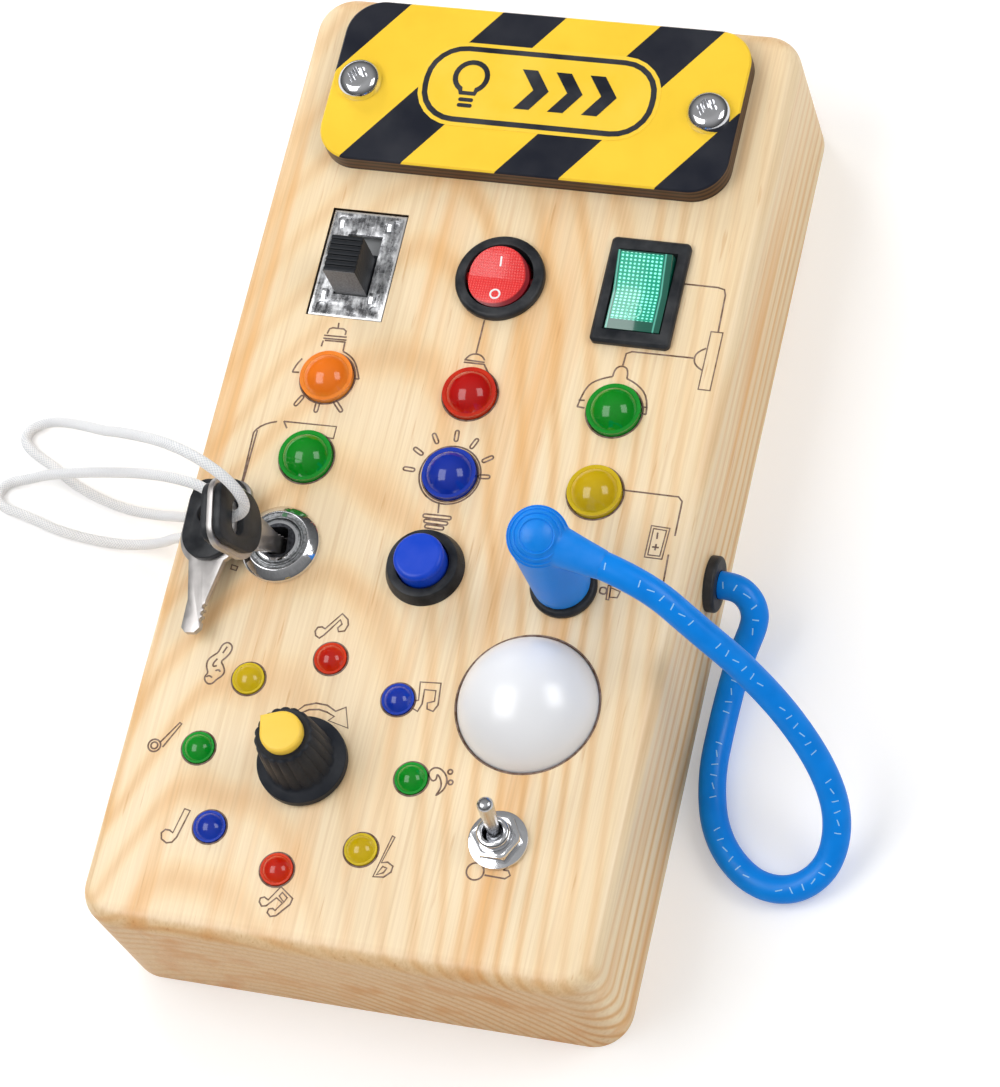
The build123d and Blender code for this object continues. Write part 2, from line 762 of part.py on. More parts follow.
def rocker_profile(half_length):
    # Side view of a paddle at rest, its lower end pressed: a shallow V over a round belly.
    rest = math.radians(rocker_throw / 2)
    end_z = rocker_crown + half_length * math.tan(rest)
    belly = rocker_belly_radius
    outline = [(-belly, 0), (-half_length, 0), (-half_length, end_z), (0, rocker_crown)]
    outline += [(half_length, end_z), (half_length, 0), (belly, 0)]
    with BuildSketch() as profile:
        with BuildLine():
            Polyline(*outline)
            ThreePointArc((belly, 0), (0, -belly), (-belly, 0))
        make_face()
    return profile.sketch.rotate(Axis.Z, rocker_throw / 2)


round_paddle_profile = rocker_profile(round_rocker_paddle_diameter / 2)
lit_paddle_profile = rocker_profile(rect_rocker_paddle_length / 2)
rocker_rest = math.radians(rocker_throw / 2)
round_paddle_plane = Plane(
    (round_rocker_x, switch_row_y, rocker_pivot_z),
    x_dir=(1, 0, 0),
    z_dir=(0, -math.sin(rocker_rest), math.cos(rocker_rest)),
)

with BuildPart() as round_rocker_paddle:
    with BuildSketch(Plane((round_rocker_x, switch_row_y, rocker_pivot_z), x_dir=(0, 1, 0), z_dir=(1, 0, 0))):
        add(round_paddle_profile)
    extrude(amount=round_rocker_paddle_diameter / 2, both=True)
    # round side, upright when the paddle is halfway, so both ends clear the housing alike
    with BuildSketch(round_paddle_plane):
        Circle(round_rocker_paddle_diameter / 2)
    extrude(amount=round_rocker_paddle_diameter, both=True, mode=Mode.INTERSECT)
    with BuildSketch(Plane.YZ.offset(round_rocker_x)):
        with Locations((switch_row_y, rocker_pivot_z)):
            Circle(rocker_pin_diameter / 2)
    extrude(amount=round_cavity_diameter / 2 + rocker_wall / 2, both=True)
round_rocker_paddle.part.label = "round_rocker_paddle"
export_step(round_rocker_paddle.part, "parts/round_rocker_paddle.step")

# ---------------------------------------------------------------- lit rocker
rect_plane = Plane((right_column_x, switch_row_y, 0))
with BuildPart() as lit_rocker_housing:
    with BuildSketch(rect_plane.offset(rocker_bottom_z)):
        Rectangle(rect_barrel_width, rect_barrel_length)
    extrude(amount=face_z - rocker_bottom_z)
    with BuildSketch(rect_plane.offset(face_z)):
        RectangleRounded(rect_rocker_bezel_width, rect_rocker_bezel_length, rocker_wall)
    extrude(amount=rocker_bezel_height)
    chamfer(lit_rocker_housing.faces().sort_by(Axis.Z)[-1].edges(), length=rocker_bezel_height / 3)
    with BuildSketch(rect_plane.offset(rocker_cavity_floor_z)):
        Rectangle(rect_cavity_width, rect_cavity_length)
    extrude(amount=face_z + rocker_bezel_height - rocker_cavity_floor_z, mode=Mode.SUBTRACT)
    with BuildSketch(Plane.YZ.offset(right_column_x)):
        with Locations((switch_row_y, rocker_pivot_z)):
            Circle(rocker_pin_diameter / 2 + running_fit)
    extrude(amount=rect_barrel_width / 2 - rocker_wall / 4, both=True, mode=Mode.SUBTRACT)
lit_rocker_housing.part.label = "lit_rocker_housing"
export_step(lit_rocker_housing.part, "parts/lit_rocker_housing.step")

with BuildPart() as lit_rocker_paddle:
    with BuildSketch(Plane((right_column_x, switch_row_y, rocker_pivot_z), x_dir=(0, 1, 0), z_dir=(1, 0, 0))):
        add(lit_paddle_profile)
    extrude(amount=rect_rocker_paddle_width / 2, both=True)
    with BuildSketch(Plane.YZ.offset(right_column_x)):
        with Locations((switch_row_y, rocker_pivot_z)):
            Circle(rocker_pin_diameter / 2)
    extrude(amount=rect_cavity_width / 2 + rocker_wall / 2, both=True)
lit_rocker_paddle.part.label = "lit_rocker_paddle"
export_step(lit_rocker_paddle.part, "parts/lit_rocker_paddle.step")

# ---------------------------------------------------------------- push button
button_plane = Plane((button_center[0], button_center[1], 0))
with BuildPart() as push_button_body:
    with BuildSketch(button_plane.offset(button_bottom_z)):
        Circle(button_barrel_diameter / 2)
    extrude(amount=face_z - button_bottom_z)
    with BuildSketch(button_plane.offset(face_z)):
        Circle(button_bezel_diameter / 2)
    extrude(amount=button_bezel_height, taper=button_bezel_taper)
    with BuildSketch(button_plane.offset(button_floor_z)):
        Circle(button_bore_diameter / 2)
    extrude(amount=face_z + button_bezel_height - button_floor_z, mode=Mode.SUBTRACT)
    with BuildSketch(button_plane.offset(button_floor_z)):
        Circle(button_lower_bore_diameter / 2)
    extrude(amount=face_z - button_step_depth - button_floor_z, mode=Mode.SUBTRACT)
push_button_body.part.label = "push_button_body"
export_step(push_button_body.part, "parts/push_button_body.step")

with BuildPart() as push_button_cap:
    with BuildSketch(button_plane.offset(button_collar_floor_z)):
        Circle(button_cap_diameter / 2)
    extrude(amount=face_z + button_cap_rise - button_collar_floor_z)
    fillet(push_button_cap.faces().sort_by(Axis.Z)[-1].edges(), radius=button_cap_edge)
    with BuildSketch(button_plane.offset(button_collar_floor_z)):
        Circle(button_collar_diameter / 2)
    extrude(amount=button_collar_thickness)
push_button_cap.part.label = "push_button_cap"
export_step(push_button_cap.part, "parts/push_button_cap.step")

spring_height = button_collar_floor_z - button_floor_z - spring_wire
with BuildPart() as push_button_spring:
    with BuildLine(button_plane.offset(button_floor_z + spring_wire / 2)) as coil:
        Helix(
            pitch=spring_height / spring_turns,
            height=spring_height,
            radius=spring_diameter / 2,
        )
    with BuildSketch(Plane(origin=coil.line @ 0, z_dir=coil.line % 0)):
        Circle(spring_wire / 2)
    sweep(path=coil.line, is_frenet=True)
push_button_spring.part.label = "push_button_spring"
export_step(push_button_spring.part, "parts/push_button_spring.step")


def nut_profile(flats, bore):
    with BuildSketch() as profile:
        RegularPolygon(flats / 2, 6, major_radius=False)
        Circle(bore / 2 + seat_gap, mode=Mode.SUBTRACT)
    return profile.sketch


# ---------------------------------------------------------------- key lock
lock_plane = Plane((lock_center[0], lock_center[1], 0))
with BuildPart() as lock_body:
    with BuildSketch(lock_plane.offset(face_z - lock_depth)):
        Circle(lock_barrel_diameter / 2)
    extrude(amount=lock_depth)
    with BuildSketch(lock_plane.offset(face_z)):
        Circle(lock_flange_diameter / 2)
    extrude(amount=lock_flange_height)
    lock_rim = lock_body.faces().sort_by(Axis.Z)[-1].edges()
    chamfer(
        lock_rim,
        length=lock_flange_height - lock_flange_edge,
        length2=(lock_flange_diameter - lock_face_diameter) / 2,
        reference=lock_body.faces().sort_by(Axis.Z)[-1],
    )
    with BuildSketch(lock_plane.offset(lock_top_z)):
        Circle(lock_face_diameter / 2 - lock_ring_recess)
        Circle(cylinder_diameter / 2 + lock_ring_recess, mode=Mode.SUBTRACT)
    extrude(amount=-lock_ring_recess, mode=Mode.SUBTRACT)
    with BuildSketch(lock_plane.offset(face_z - lock_depth)):
        Circle(cylinder_diameter / 2 + running_fit)
    extrude(amount=lock_depth + lock_flange_height, mode=Mode.SUBTRACT)
lock_body.part.label = "lock_body"
export_step(lock_body.part, "parts/lock_body.step")

# The key leans a little in its wide keyway, so the blade crosses the slot's middle.
width_angle = math.radians(key_width_direction)
lean_angle = math.radians(key_lean)
side_lean_angle = math.radians(key_side_lean)
key_normal = Vector(math.sin(width_angle), -math.cos(width_angle), 0)
key_across = Vector(math.cos(width_angle), math.sin(width_angle), 0)
upright_axis = Vector(0, 0, 1) * math.cos(lean_angle) - key_normal * math.sin(lean_angle)
key_axis = upright_axis * math.cos(side_lean_angle) - key_across * math.sin(side_lean_angle)
key_face = key_normal * math.cos(lean_angle) + Vector(0, 0, 1) * math.sin(lean_angle)
key_drift = key_insertion * math.tan(lean_angle)
key_side_drift = key_insertion * math.tan(side_lean_angle)
lock_mouth = Vector(lock_center[0], lock_center[1], lock_top_z)
key_mouth = lock_mouth - key_normal * (key_drift / 2) - key_across * (key_side_drift / 2)
key_shoulder = key_mouth + key_axis * (key_blade_length - key_insertion)
key_plane = Plane(key_shoulder, x_dir=key_axis.cross(key_face), z_dir=key_face)
keyway_width = key_plate_thickness + key_drift + 2 * slip_gap
keyway_length = key_blade_width + key_side_drift + 2 * slip_gap
keyway_depth = key_insertion + slip_gap

with BuildPart() as lock_cylinder:
    with BuildSketch(lock_plane.offset(face_z - lock_depth)):
        Circle(cylinder_diameter / 2)
    extrude(amount=lock_depth + lock_flange_height)
    chamfer(lock_cylinder.faces().sort_by(Axis.Z)[-1].edges(), length=slip_gap)
    keyway_plane = Plane(lock_mouth, x_dir=key_across, z_dir=(0, 0, 1))
    with BuildSketch(keyway_plane):
        RectangleRounded(keyway_length, keyway_width, keyway_width / 4)
    extrude(amount=-keyway_depth, mode=Mode.SUBTRACT)
    # cam under the barrel
    with BuildSketch(
        Plane((lock_center[0], lock_center[1], face_z - lock_depth - slip_gap - lock_cam_thickness))
    ):
        Circle(cylinder_diameter / 2 + lock_cam_thickness)
        with Locations((0, -lock_cam_length / 2)):
            Rectangle(lock_cam_width, lock_cam_length)
    extrude(amount=lock_cam_thickness)
    with BuildSketch(lock_plane.offset(face_z - lock_depth - slip_gap)):
        Circle(cylinder_diameter / 2)
    extrude(amount=slip_gap)
lock_cylinder.part.label = "lock_cylinder"
export_step(lock_cylinder.part, "parts/lock_cylinder.step")


key_length = key_neck_length + key_bow_length
key_slot_y = key_length - key_slot_from_end

# The spare key lies on the face, its near side raised on the flange of the lock.
spare_tilt = math.radians(spare_key_tilt)
spare_lift = (key_bow_width / 2 - key_rim) * math.sin(spare_tilt)
spare_lift += (key_grip_thickness + key_plate_thickness / 2) * math.cos(spare_tilt)
spare_origin = Vector(
    lock_center[0] - spare_key_side,
    lock_center[1] - spare_key_drop + key_blade_length,
    face_z + spare_key_gap + spare_lift,
)
spare_face = Vector(-math.sin(spare_tilt), 0, math.cos(spare_tilt))
spare_key_plane = Plane(
    spare_origin, x_dir=(math.cos(spare_tilt), 0, math.sin(spare_tilt)), z_dir=spare_face
).rotated((0, 0, spare_key_heading))
print("key hole", key_plane.from_local_coords((0, key_slot_y, 0)), "axis", key_axis, "face", key_face)
print("spare hole", spare_key_plane.from_local_coords((0, key_slot_y, 0)), "face", spare_key_plane.z_dir)


def bow_profile(margin):
    # Round towards the blade, squarer at the far end, with the slot for the string.
    half = key_bow_width / 2 - margin
    top = key_length - margin
    middle = key_neck_length + key_bow_width / 2
    corner = key_bow_end_radius - margin
    bend = corner * (1 - math.sqrt(0.5))
    with BuildSketch() as profile:
        with BuildLine():
            ThreePointArc((-half, middle), (0, middle - half), (half, middle))
            Line((half, middle), (half, top - corner))
            ThreePointArc((half, top - corner), (half - bend, top - bend), (half - corner, top))
            Line((half - corner, top), (corner - half, top))
            ThreePointArc((corner - half, top), (bend - half, top - bend), (-half, top - corner))
            Line((-half, top - corner), (-half, middle))
        make_face()
        with Locations((0, key_slot_y)):
            SlotOverall(key_slot_length, key_slot_width, mode=Mode.SUBTRACT)
    return profile.sketch


def blade_profile():
    # Blade with a blunt tip and bitting on one edge, and the neck that widens to the bow.
    half = key_blade_width / 2
    tip = -key_blade_length
    neck_half = key_neck_width / 2
    neck_top = key_neck_length + key_bow_width / 2 - math.sqrt((key_bow_width / 2) ** 2 - neck_half**2)
    outline = [(-half, 0), (-half, tip + half / 2), (-half / 2, tip), (half / 2, tip)]
    outline += [(half, tip + half / 2), (half, 0), (neck_half, neck_top), (-neck_half, neck_top)]
    with BuildSketch() as profile:
        with BuildLine():
            Polyline(*outline, close=True)
        make_face()
        with Locations(*[(half, tip + half + (step + 0.5) * key_bit_pitch) for step in range(key_bits)]):
            Circle(key_bit_radius, mode=Mode.SUBTRACT)
    return profile.sketch


bow_steel = bow_profile(0)
bow_cover = bow_profile(key_rim)
blade_steel = blade_profile()
for key_name, plane in (("key", key_plane), ("spare_key", spare_key_plane)):
    with BuildPart() as key_blade:
        with BuildSketch(plane):
            add(bow_steel)
            add(blade_steel)
        extrude(amount=key_plate_thickness / 2, both=True)
    key_blade.part.label = key_name + "_blade"
    export_step(key_blade.part, "parts/" + key_name + "_blade" + ".step")

    # plastic covers on both sides of the bow, inside its steel rim
    with BuildPart() as key_grip:
        with BuildSketch(plane):
            add(bow_cover)
        extrude(amount=key_plate_thickness / 2 + key_grip_thickness, both=True)
        with BuildSketch(plane):
            add(bow_steel)
        extrude(amount=key_plate_thickness / 2, both=True, mode=Mode.SUBTRACT)
    key_grip.part.label = key_name + "_grip"
    export_step(key_grip.part, "parts/" + key_name + "_grip" + ".step")

# ---------------------------------------------------------------- socket and plug
socket_plane = Plane((socket_center[0], socket_center[1], 0))
with BuildPart() as socket_body:
    with BuildSketch(socket_plane.offset(face_z - socket_depth)):
        Circle(socket_barrel_diameter / 2)
    extrude(amount=socket_depth)
    with BuildSketch(socket_plane.offset(face_z)):
        Circle(socket_ring_diameter / 2)
    extrude(amount=socket_ring_height)
    chamfer(socket_body.faces().sort_by(Axis.Z)[-1].edges(), length=socket_ring_height / 3)
    with BuildSketch(socket_plane.offset(socket_top_z)):
        Circle(pin_diameter / 2 + running_fit)
    extrude(amount=-(pin_length + socket_ring_height), mode=Mode.SUBTRACT)
socket_body.part.label = "socket_body"
export_step(socket_body.part, "parts/socket_body.step")

# nuts that hold the button, the lock and the socket from behind the panel
button_nut_profile = nut_profile(button_nut_flats, button_barrel_diameter)
lock_nut_profile = nut_profile(lock_nut_flats, lock_barrel_diameter)
socket_nut_profile = nut_profile(socket_nut_flats, socket_barrel_diameter)
with BuildPart() as panel_nuts:
    with BuildSketch(button_plane.offset(ceiling_z - nut_height)):
        add(button_nut_profile)
    with BuildSketch(lock_plane.offset(ceiling_z - nut_height)):
        add(lock_nut_profile)
    with BuildSketch(socket_plane.offset(ceiling_z - nut_height)):
        add(socket_nut_profile)
    extrude(amount=nut_height)
panel_nuts.part.label = "panel_nuts"
export_step(panel_nuts.part, "parts/panel_nuts.step")

boot_base_z = socket_top_z + slip_gap
boot_elbow_z = face_z + boot_elbow_height
heading = math.radians(boot_heading)
droop = math.radians(boot_droop)
arm_direction = Vector(
    math.cos(heading) * math.cos(droop), math.sin(heading) * math.cos(droop), -math.sin(droop)
)
elbow = Vector(socket_center[0], socket_center[1], boot_elbow_z)
arm_end = elbow + arm_direction * boot_arm_length

with BuildPart() as plug_boot:
    with BuildSketch(socket_plane.offset(boot_base_z)):
        Circle(boot_base_diameter / 2)
    with BuildSketch(socket_plane.offset(boot_elbow_z)):
        Circle(boot_top_diameter / 2)
    loft()
    with Locations(elbow):
        Sphere(boot_top_diameter / 2)
    with BuildSketch(Plane(elbow, z_dir=arm_direction)):
        Circle(boot_arm_root_diameter / 2)
    with BuildSketch(Plane(arm_end, z_dir=arm_direction)):
        Circle(boot_arm_end_diameter / 2)
    loft()
    # hole for the pin
    with BuildSketch(socket_plane.offset(boot_base_z)):
        Circle(pin_diameter / 2)
    extrude(amount=pin_grip, mode=Mode.SUBTRACT)
plug_boot.part.label = "plug_boot"
export_step(plug_boot.part, "parts/plug_boot.step")

with BuildPart() as plug_pin:
    with BuildSketch(socket_plane.offset(socket_top_z - pin_length)):
        Circle(pin_diameter / 2)
    extrude(amount=pin_length + slip_gap + pin_grip)
    fillet(plug_pin.faces().sort_by(Axis.Z)[0].edges(), radius=pin_tip_radius)
plug_pin.part.label = "plug_pin"
export_step(plug_pin.part, "parts/plug_pin.step")

with BuildPart() as cord_grommet:
    with BuildSketch(Plane.YZ.offset(half_width)):
        with Locations((grommet_y, grommet_z)):
            Circle(grommet_flange_diameter / 2)
    extrude(amount=grommet_flange_thickness)
    fillet(cord_grommet.faces().sort_by(Axis.X)[-1].edges(), radius=grommet_flange_thickness / 3)
    with BuildSketch(Plane.YZ.offset(half_width)):
        with Locations((grommet_y, grommet_z)):
            Circle(grommet_neck_diameter / 2)
    extrude(amount=-side_wall - grommet_flange_thickness / 2)
    # inner lip behind the wall
    with BuildSketch(Plane.YZ.offset(half_width - side_wall)):
        with Locations((grommet_y, grommet_z)):
            Circle(grommet_flange_diameter / 2)
    extrude(amount=-grommet_flange_thickness / 2)
    with BuildSketch(Plane.YZ.offset(half_width + grommet_flange_thickness)):
        with Locations((grommet_y, grommet_z)):
            Circle(cord_diameter / 2 + seat_gap)
    extrude(amount=-side_wall - 2 * grommet_flange_thickness, mode=Mode.SUBTRACT)
cord_grommet.part.label = "cord_grommet"
export_step(cord_grommet.part, "parts/cord_grommet.step")

# ---------------------------------------------------------------- dome light
dome_plane = Plane((dome_center[0], dome_center[1], 0))


def dome_profile(radius, rise, floor_z):
    # Half section of a cap: a short wall from the floor and a dome over it.
    ball_radius = (radius**2 + rise**2) / (2 * rise)
    half_angle = math.asin(radius / ball_radius) / 2
    middle = (ball_radius * math.sin(half_angle), rise - ball_radius * (1 - math.cos(half_angle)))
    with BuildSketch() as profile:
        with BuildLine():
            Polyline((0, face_z + rise), (0, floor_z), (radius, floor_z), (radius, face_z))
            ThreePointArc((radius, face_z), (middle[0], face_z + middle[1]), (0, face_z + rise))
        make_face()
    return profile.sketch


dome_outer = dome_profile(dome_diameter / 2, dome_rise, ceiling_z)
dome_inner = dome_profile(dome_diameter / 2 - dome_wall, dome_rise - dome_wall, ceiling_z)
dome_section = Plane(dome_plane.origin, x_dir=(1, 0, 0), z_dir=(0, -1, 0))
with BuildPart() as dome_cover:
    with BuildSketch(dome_section):
        add(dome_outer)
    revolve(axis=Axis(dome_plane.origin, (0, 0, 1)))
    with BuildSketch(dome_plane.offset(ceiling_z - dome_flange_thickness)):
        Circle(dome_flange_radius)
    extrude(amount=dome_flange_thickness)
    with BuildSketch(dome_plane.offset(ceiling_z - dome_flange_thickness)):
        Circle(dome_diameter / 2 - dome_wall)
    extrude(amount=dome_flange_thickness, mode=Mode.SUBTRACT)
    with BuildSketch(dome_section):
        add(dome_inner)
    revolve(axis=Axis(dome_plane.origin, (0, 0, 1)), mode=Mode.SUBTRACT)
dome_cover.part.label = "dome_cover"
export_step(dome_cover.part, "parts/dome_cover.step")

lamp_board_z = ceiling_z - dome_flange_thickness - lamp_board_thickness
with BuildPart() as dome_lamp:
    with BuildSketch(dome_plane.offset(lamp_board_z)):
        Circle(dome_flange_radius)
    extrude(amount=lamp_board_thickness)
    with BuildSketch(dome_plane.offset(lamp_board_z + lamp_board_thickness)):
        with PolarLocations(lamp_board_chip, 3):
            Rectangle(lamp_board_chip, lamp_board_chip)
    extrude(amount=lamp_board_chip / 3)
dome_lamp.part.label = "dome_lamp"
export_step(dome_lamp.part, "parts/dome_lamp.step")

# ---------------------------------------------------------------- toggle switch
toggle_plane = Plane((toggle_center[0], toggle_center[1], 0))
toggle_rest = toggle_throw / 2
toggle_cone = math.tan(math.radians(toggle_rest))
toggle_nut_z = face_z + toggle_washer_thickness


def toggle_mouth(distance, lever_diameter):
    # Half width of the bushing's bore, so that the leaning lever clears it.
    return lever_diameter / 2 / math.cos(math.radians(toggle_rest)) + distance * toggle_cone + slip_gap


with BuildPart() as toggle_bushing:
    with BuildSketch(toggle_plane.offset(ceiling_z)):
        Circle(toggle_bushing_diameter / 2)
    extrude(amount=front_wall + toggle_bushing_rise)
    chamfer(toggle_bushing.faces().sort_by(Axis.Z)[-1].edges(), length=slip_gap)
    # bore: a ball seat between two cones
    mouth_height = toggle_bushing_rise - toggle_pivot_rise
    tail_height = toggle_pivot_rise + front_wall
    tail_radius = toggle_mouth(toggle_tail_length, toggle_lever_root_diameter)
    with BuildSketch(Plane(toggle_plane.origin, x_dir=(1, 0, 0), z_dir=(0, -1, 0))):
        with BuildLine():
            Polyline(
                (0, face_z + toggle_bushing_rise),
                (toggle_mouth(mouth_height, toggle_lever_root_diameter), face_z + toggle_bushing_rise),
                (toggle_ball_diameter / 2 + running_fit, toggle_pivot_z + running_fit),
                (toggle_ball_diameter / 2 + running_fit, toggle_pivot_z - toggle_ball_diameter / 2),
                (tail_radius, toggle_pivot_z - toggle_tail_length),
                (tail_radius, ceiling_z),
                (0, ceiling_z),
                close=True,
            )
        make_face()
    revolve(axis=Axis(toggle_plane.origin, (0, 0, 1)), mode=Mode.SUBTRACT)
toggle_bushing.part.label = "toggle_bushing"
export_step(toggle_bushing.part, "parts/toggle_bushing.step")

with BuildPart() as toggle_washer:
    with BuildSketch(toggle_plane.offset(face_z)):
        Circle(toggle_washer_diameter / 2)
        Circle(toggle_bushing_diameter / 2 + seat_gap, mode=Mode.SUBTRACT)
    extrude(amount=toggle_washer_thickness)
toggle_washer.part.label = "toggle_washer"
export_step(toggle_washer.part, "parts/toggle_washer.step")

toggle_nut_profile = nut_profile(toggle_nut_flats, toggle_bushing_diameter)
with BuildPart() as toggle_nut:
    with BuildSketch(toggle_plane.offset(toggle_nut_z)):
        add(toggle_nut_profile)
    extrude(amount=toggle_nut_height)
    # rounded corners of the nut's top
    with BuildSketch(toggle_plane.offset(toggle_nut_z)):
        Circle(toggle_nut_flats / 2 * nut_corner_share)
    extrude(amount=toggle_nut_height, taper=nut_corner_taper, mode=Mode.INTERSECT)
toggle_nut.part.label = "toggle_nut"
export_step(toggle_nut.part, "parts/toggle_nut.step")

with BuildPart() as toggle_body:
    with BuildSketch(toggle_plane.offset(ceiling_z - toggle_body_height)):
        Rectangle(toggle_body_width, toggle_body_length)
    extrude(amount=toggle_body_height)
    with BuildSketch(toggle_plane.offset(ceiling_z - toggle_body_height + toggle_body_wall)):
        Rectangle(
            toggle_body_width - 2 * toggle_body_wall, toggle_body_length - 2 * toggle_body_wall
        )
    extrude(amount=toggle_body_height - 2 * toggle_body_wall, mode=Mode.SUBTRACT)
    with BuildSketch(toggle_plane.offset(ceiling_z)):
        Circle(tail_radius)
    extrude(amount=-toggle_body_wall, mode=Mode.SUBTRACT)
    with BuildSketch(toggle_plane.offset(ceiling_z - toggle_body_height)):
        with GridLocations(0, toggle_body_length / 3, 1, 3):
            Rectangle(terminal_width / 2, terminal_thickness)
    extrude(amount=-terminal_length / 2)
toggle_body.part.label = "toggle_body"
export_step(toggle_body.part, "parts/toggle_body.step")

lever_lean = math.radians(toggle_rest)
lever_axis = Vector(0, math.sin(lever_lean), math.cos(lever_lean))
lever_plane = Plane((toggle_center[0], toggle_center[1], toggle_pivot_z), x_dir=(1, 0, 0), z_dir=lever_axis)
with BuildPart() as toggle_lever:
    with Locations(lever_plane):
        Sphere(toggle_ball_diameter / 2)
    with BuildSketch(lever_plane):
        Circle(toggle_lever_root_diameter / 2)
    with BuildSketch(lever_plane.offset(toggle_lever_length)):
        Circle(toggle_lever_tip_diameter / 2)
    loft()
    fillet(toggle_lever.faces().sort_by(Axis.Z)[-1].edges(), radius=toggle_lever_tip_radius)
    with BuildSketch(lever_plane):
        Circle(toggle_lever_root_diameter / 2)
    extrude(amount=-toggle_tail_length)
toggle_lever.part.label = "toggle_lever"
export_step(toggle_lever.part, "parts/toggle_lever.step")

# ---------------------------------------------------------------- selector
selector_plane = Plane((selector_center[0], selector_center[1], 0))
selector_body_z = ceiling_z - selector_body_height
shaft_bottom_z = ceiling_z - selector_body_height / 2
knob_base_z = face_z + slip_gap
knob_top_z = knob_base_z + knob_height
knob_hollow_z = face_z + selector_bushing_rise + slip_gap

with BuildPart() as selector_body:
    with BuildSketch(selector_plane.offset(selector_body_z)):
        Circle(selector_body_diameter / 2)
    extrude(amount=selector_body_height)
    with BuildSketch(selector_plane.offset(ceiling_z)):
        Circle(selector_bushing_diameter / 2)
    extrude(amount=front_wall + selector_bushing_rise)
    with BuildSketch(selector_plane.offset(shaft_bottom_z - slip_gap)):
        Circle(selector_shaft_diameter / 2 + running_fit)
    extrude(amount=board_depth, mode=Mode.SUBTRACT)
    # ring of solder tags
    with BuildSketch(selector_plane.offset(selector_body_z)):
        with PolarLocations(selector_body_diameter / 2 - terminal_thickness, bead_count):
            Rectangle(terminal_thickness, terminal_width / 2)
    extrude(amount=-terminal_length / 2)
selector_body.part.label = "selector_body"
export_step(selector_body.part, "parts/selector_body.step")

selector_nut_profile = nut_profile(selector_nut_flats, selector_bushing_diameter)
with BuildPart() as selector_nut:
    with BuildSketch(selector_plane.offset(face_z)):
        add(selector_nut_profile)
    extrude(amount=selector_nut_height)
selector_nut.part.label = "selector_nut"
export_step(selector_nut.part, "parts/selector_nut.step")

with BuildPart() as selector_shaft:
    with BuildSketch(selector_plane.offset(shaft_bottom_z)):
        Circle(selector_shaft_diameter / 2)
    extrude(amount=knob_top_z - knob_shell - shaft_bottom_z)
    # flat that drives the knob
    with BuildSketch(selector_plane.offset(knob_hollow_z)):
        with Locations((0, selector_flat_offset + selector_shaft_diameter / 2)):
            Rectangle(selector_shaft_diameter, selector_shaft_diameter)
    extrude(amount=board_depth, mode=Mode.SUBTRACT)
selector_shaft.part.label = "selector_shaft"
export_step(selector_shaft.part, "parts/selector_shaft.step")

with BuildPart() as selector_knob:
    with BuildSketch(selector_plane.offset(knob_base_z)):
        Circle(knob_skirt_diameter / 2)
    extrude(amount=knob_skirt_height)
    with BuildSketch(selector_plane.offset(knob_base_z + knob_skirt_height)):
        Circle(knob_skirt_diameter / 2)
    extrude(amount=knob_skirt_height, taper=knob_skirt_taper)
    with BuildSketch(selector_plane.offset(knob_base_z + knob_skirt_height)):
        Circle(knob_grip_diameter / 2)
    with BuildSketch(selector_plane.offset(knob_top_z)):
        Circle(knob_top_diameter / 2)
    loft()
    # flutes around the grip
    with BuildSketch(selector_plane.offset(knob_top_z)):
        with PolarLocations(knob_top_diameter / 2, knob_flutes):
            Circle(knob_flute_radius)
    extrude(amount=-(knob_height - 2 * knob_skirt_height), mode=Mode.SUBTRACT)
    # hollow over the nut, and the bore for the shaft
    with BuildSketch(selector_plane.offset(knob_base_z)):
        Circle(selector_nut_flats / 2 / math.cos(math.pi / 6) + slip_gap)
    extrude(amount=knob_hollow_z - knob_base_z, mode=Mode.SUBTRACT)
    with BuildSketch(selector_plane.offset(knob_hollow_z)):
        Circle(selector_shaft_diameter / 2)
        with Locations((0, selector_flat_offset + selector_shaft_diameter / 2)):
            Rectangle(selector_shaft_diameter, selector_shaft_diameter, mode=Mode.SUBTRACT)
    extrude(amount=knob_top_z - knob_shell - knob_hollow_z, mode=Mode.SUBTRACT)
selector_knob.part.label = "selector_knob"
export_step(selector_knob.part, "parts/selector_knob.step")

pointer_plane = Plane(
    (selector_center[0], selector_center[1], knob_top_z),
    x_dir=(math.cos(math.radians(pointer_angle)), math.sin(math.radians(pointer_angle)), 0),
    z_dir=(0, 0, 1),
)
with BuildPart() as knob_pointer:
    with BuildSketch(pointer_plane):
        Circle(pointer_diameter / 2)
        # the tip's two sides touch the disc
        tangent_x = (pointer_diameter / 2) ** 2 / pointer_reach
        tangent_y = math.sqrt((pointer_diameter / 2) ** 2 - tangent_x**2)
        with BuildLine():
            Polyline((tangent_x, tangent_y), (pointer_reach, 0), (tangent_x, -tangent_y), close=True)
        make_face()
    extrude(amount=pointer_height)
    fillet(knob_pointer.faces().sort_by(Axis.Z)[-1].edges(), radius=pointer_edge)
knob_pointer.part.label = "knob_pointer"
export_step(knob_pointer.part, "parts/knob_pointer.step")

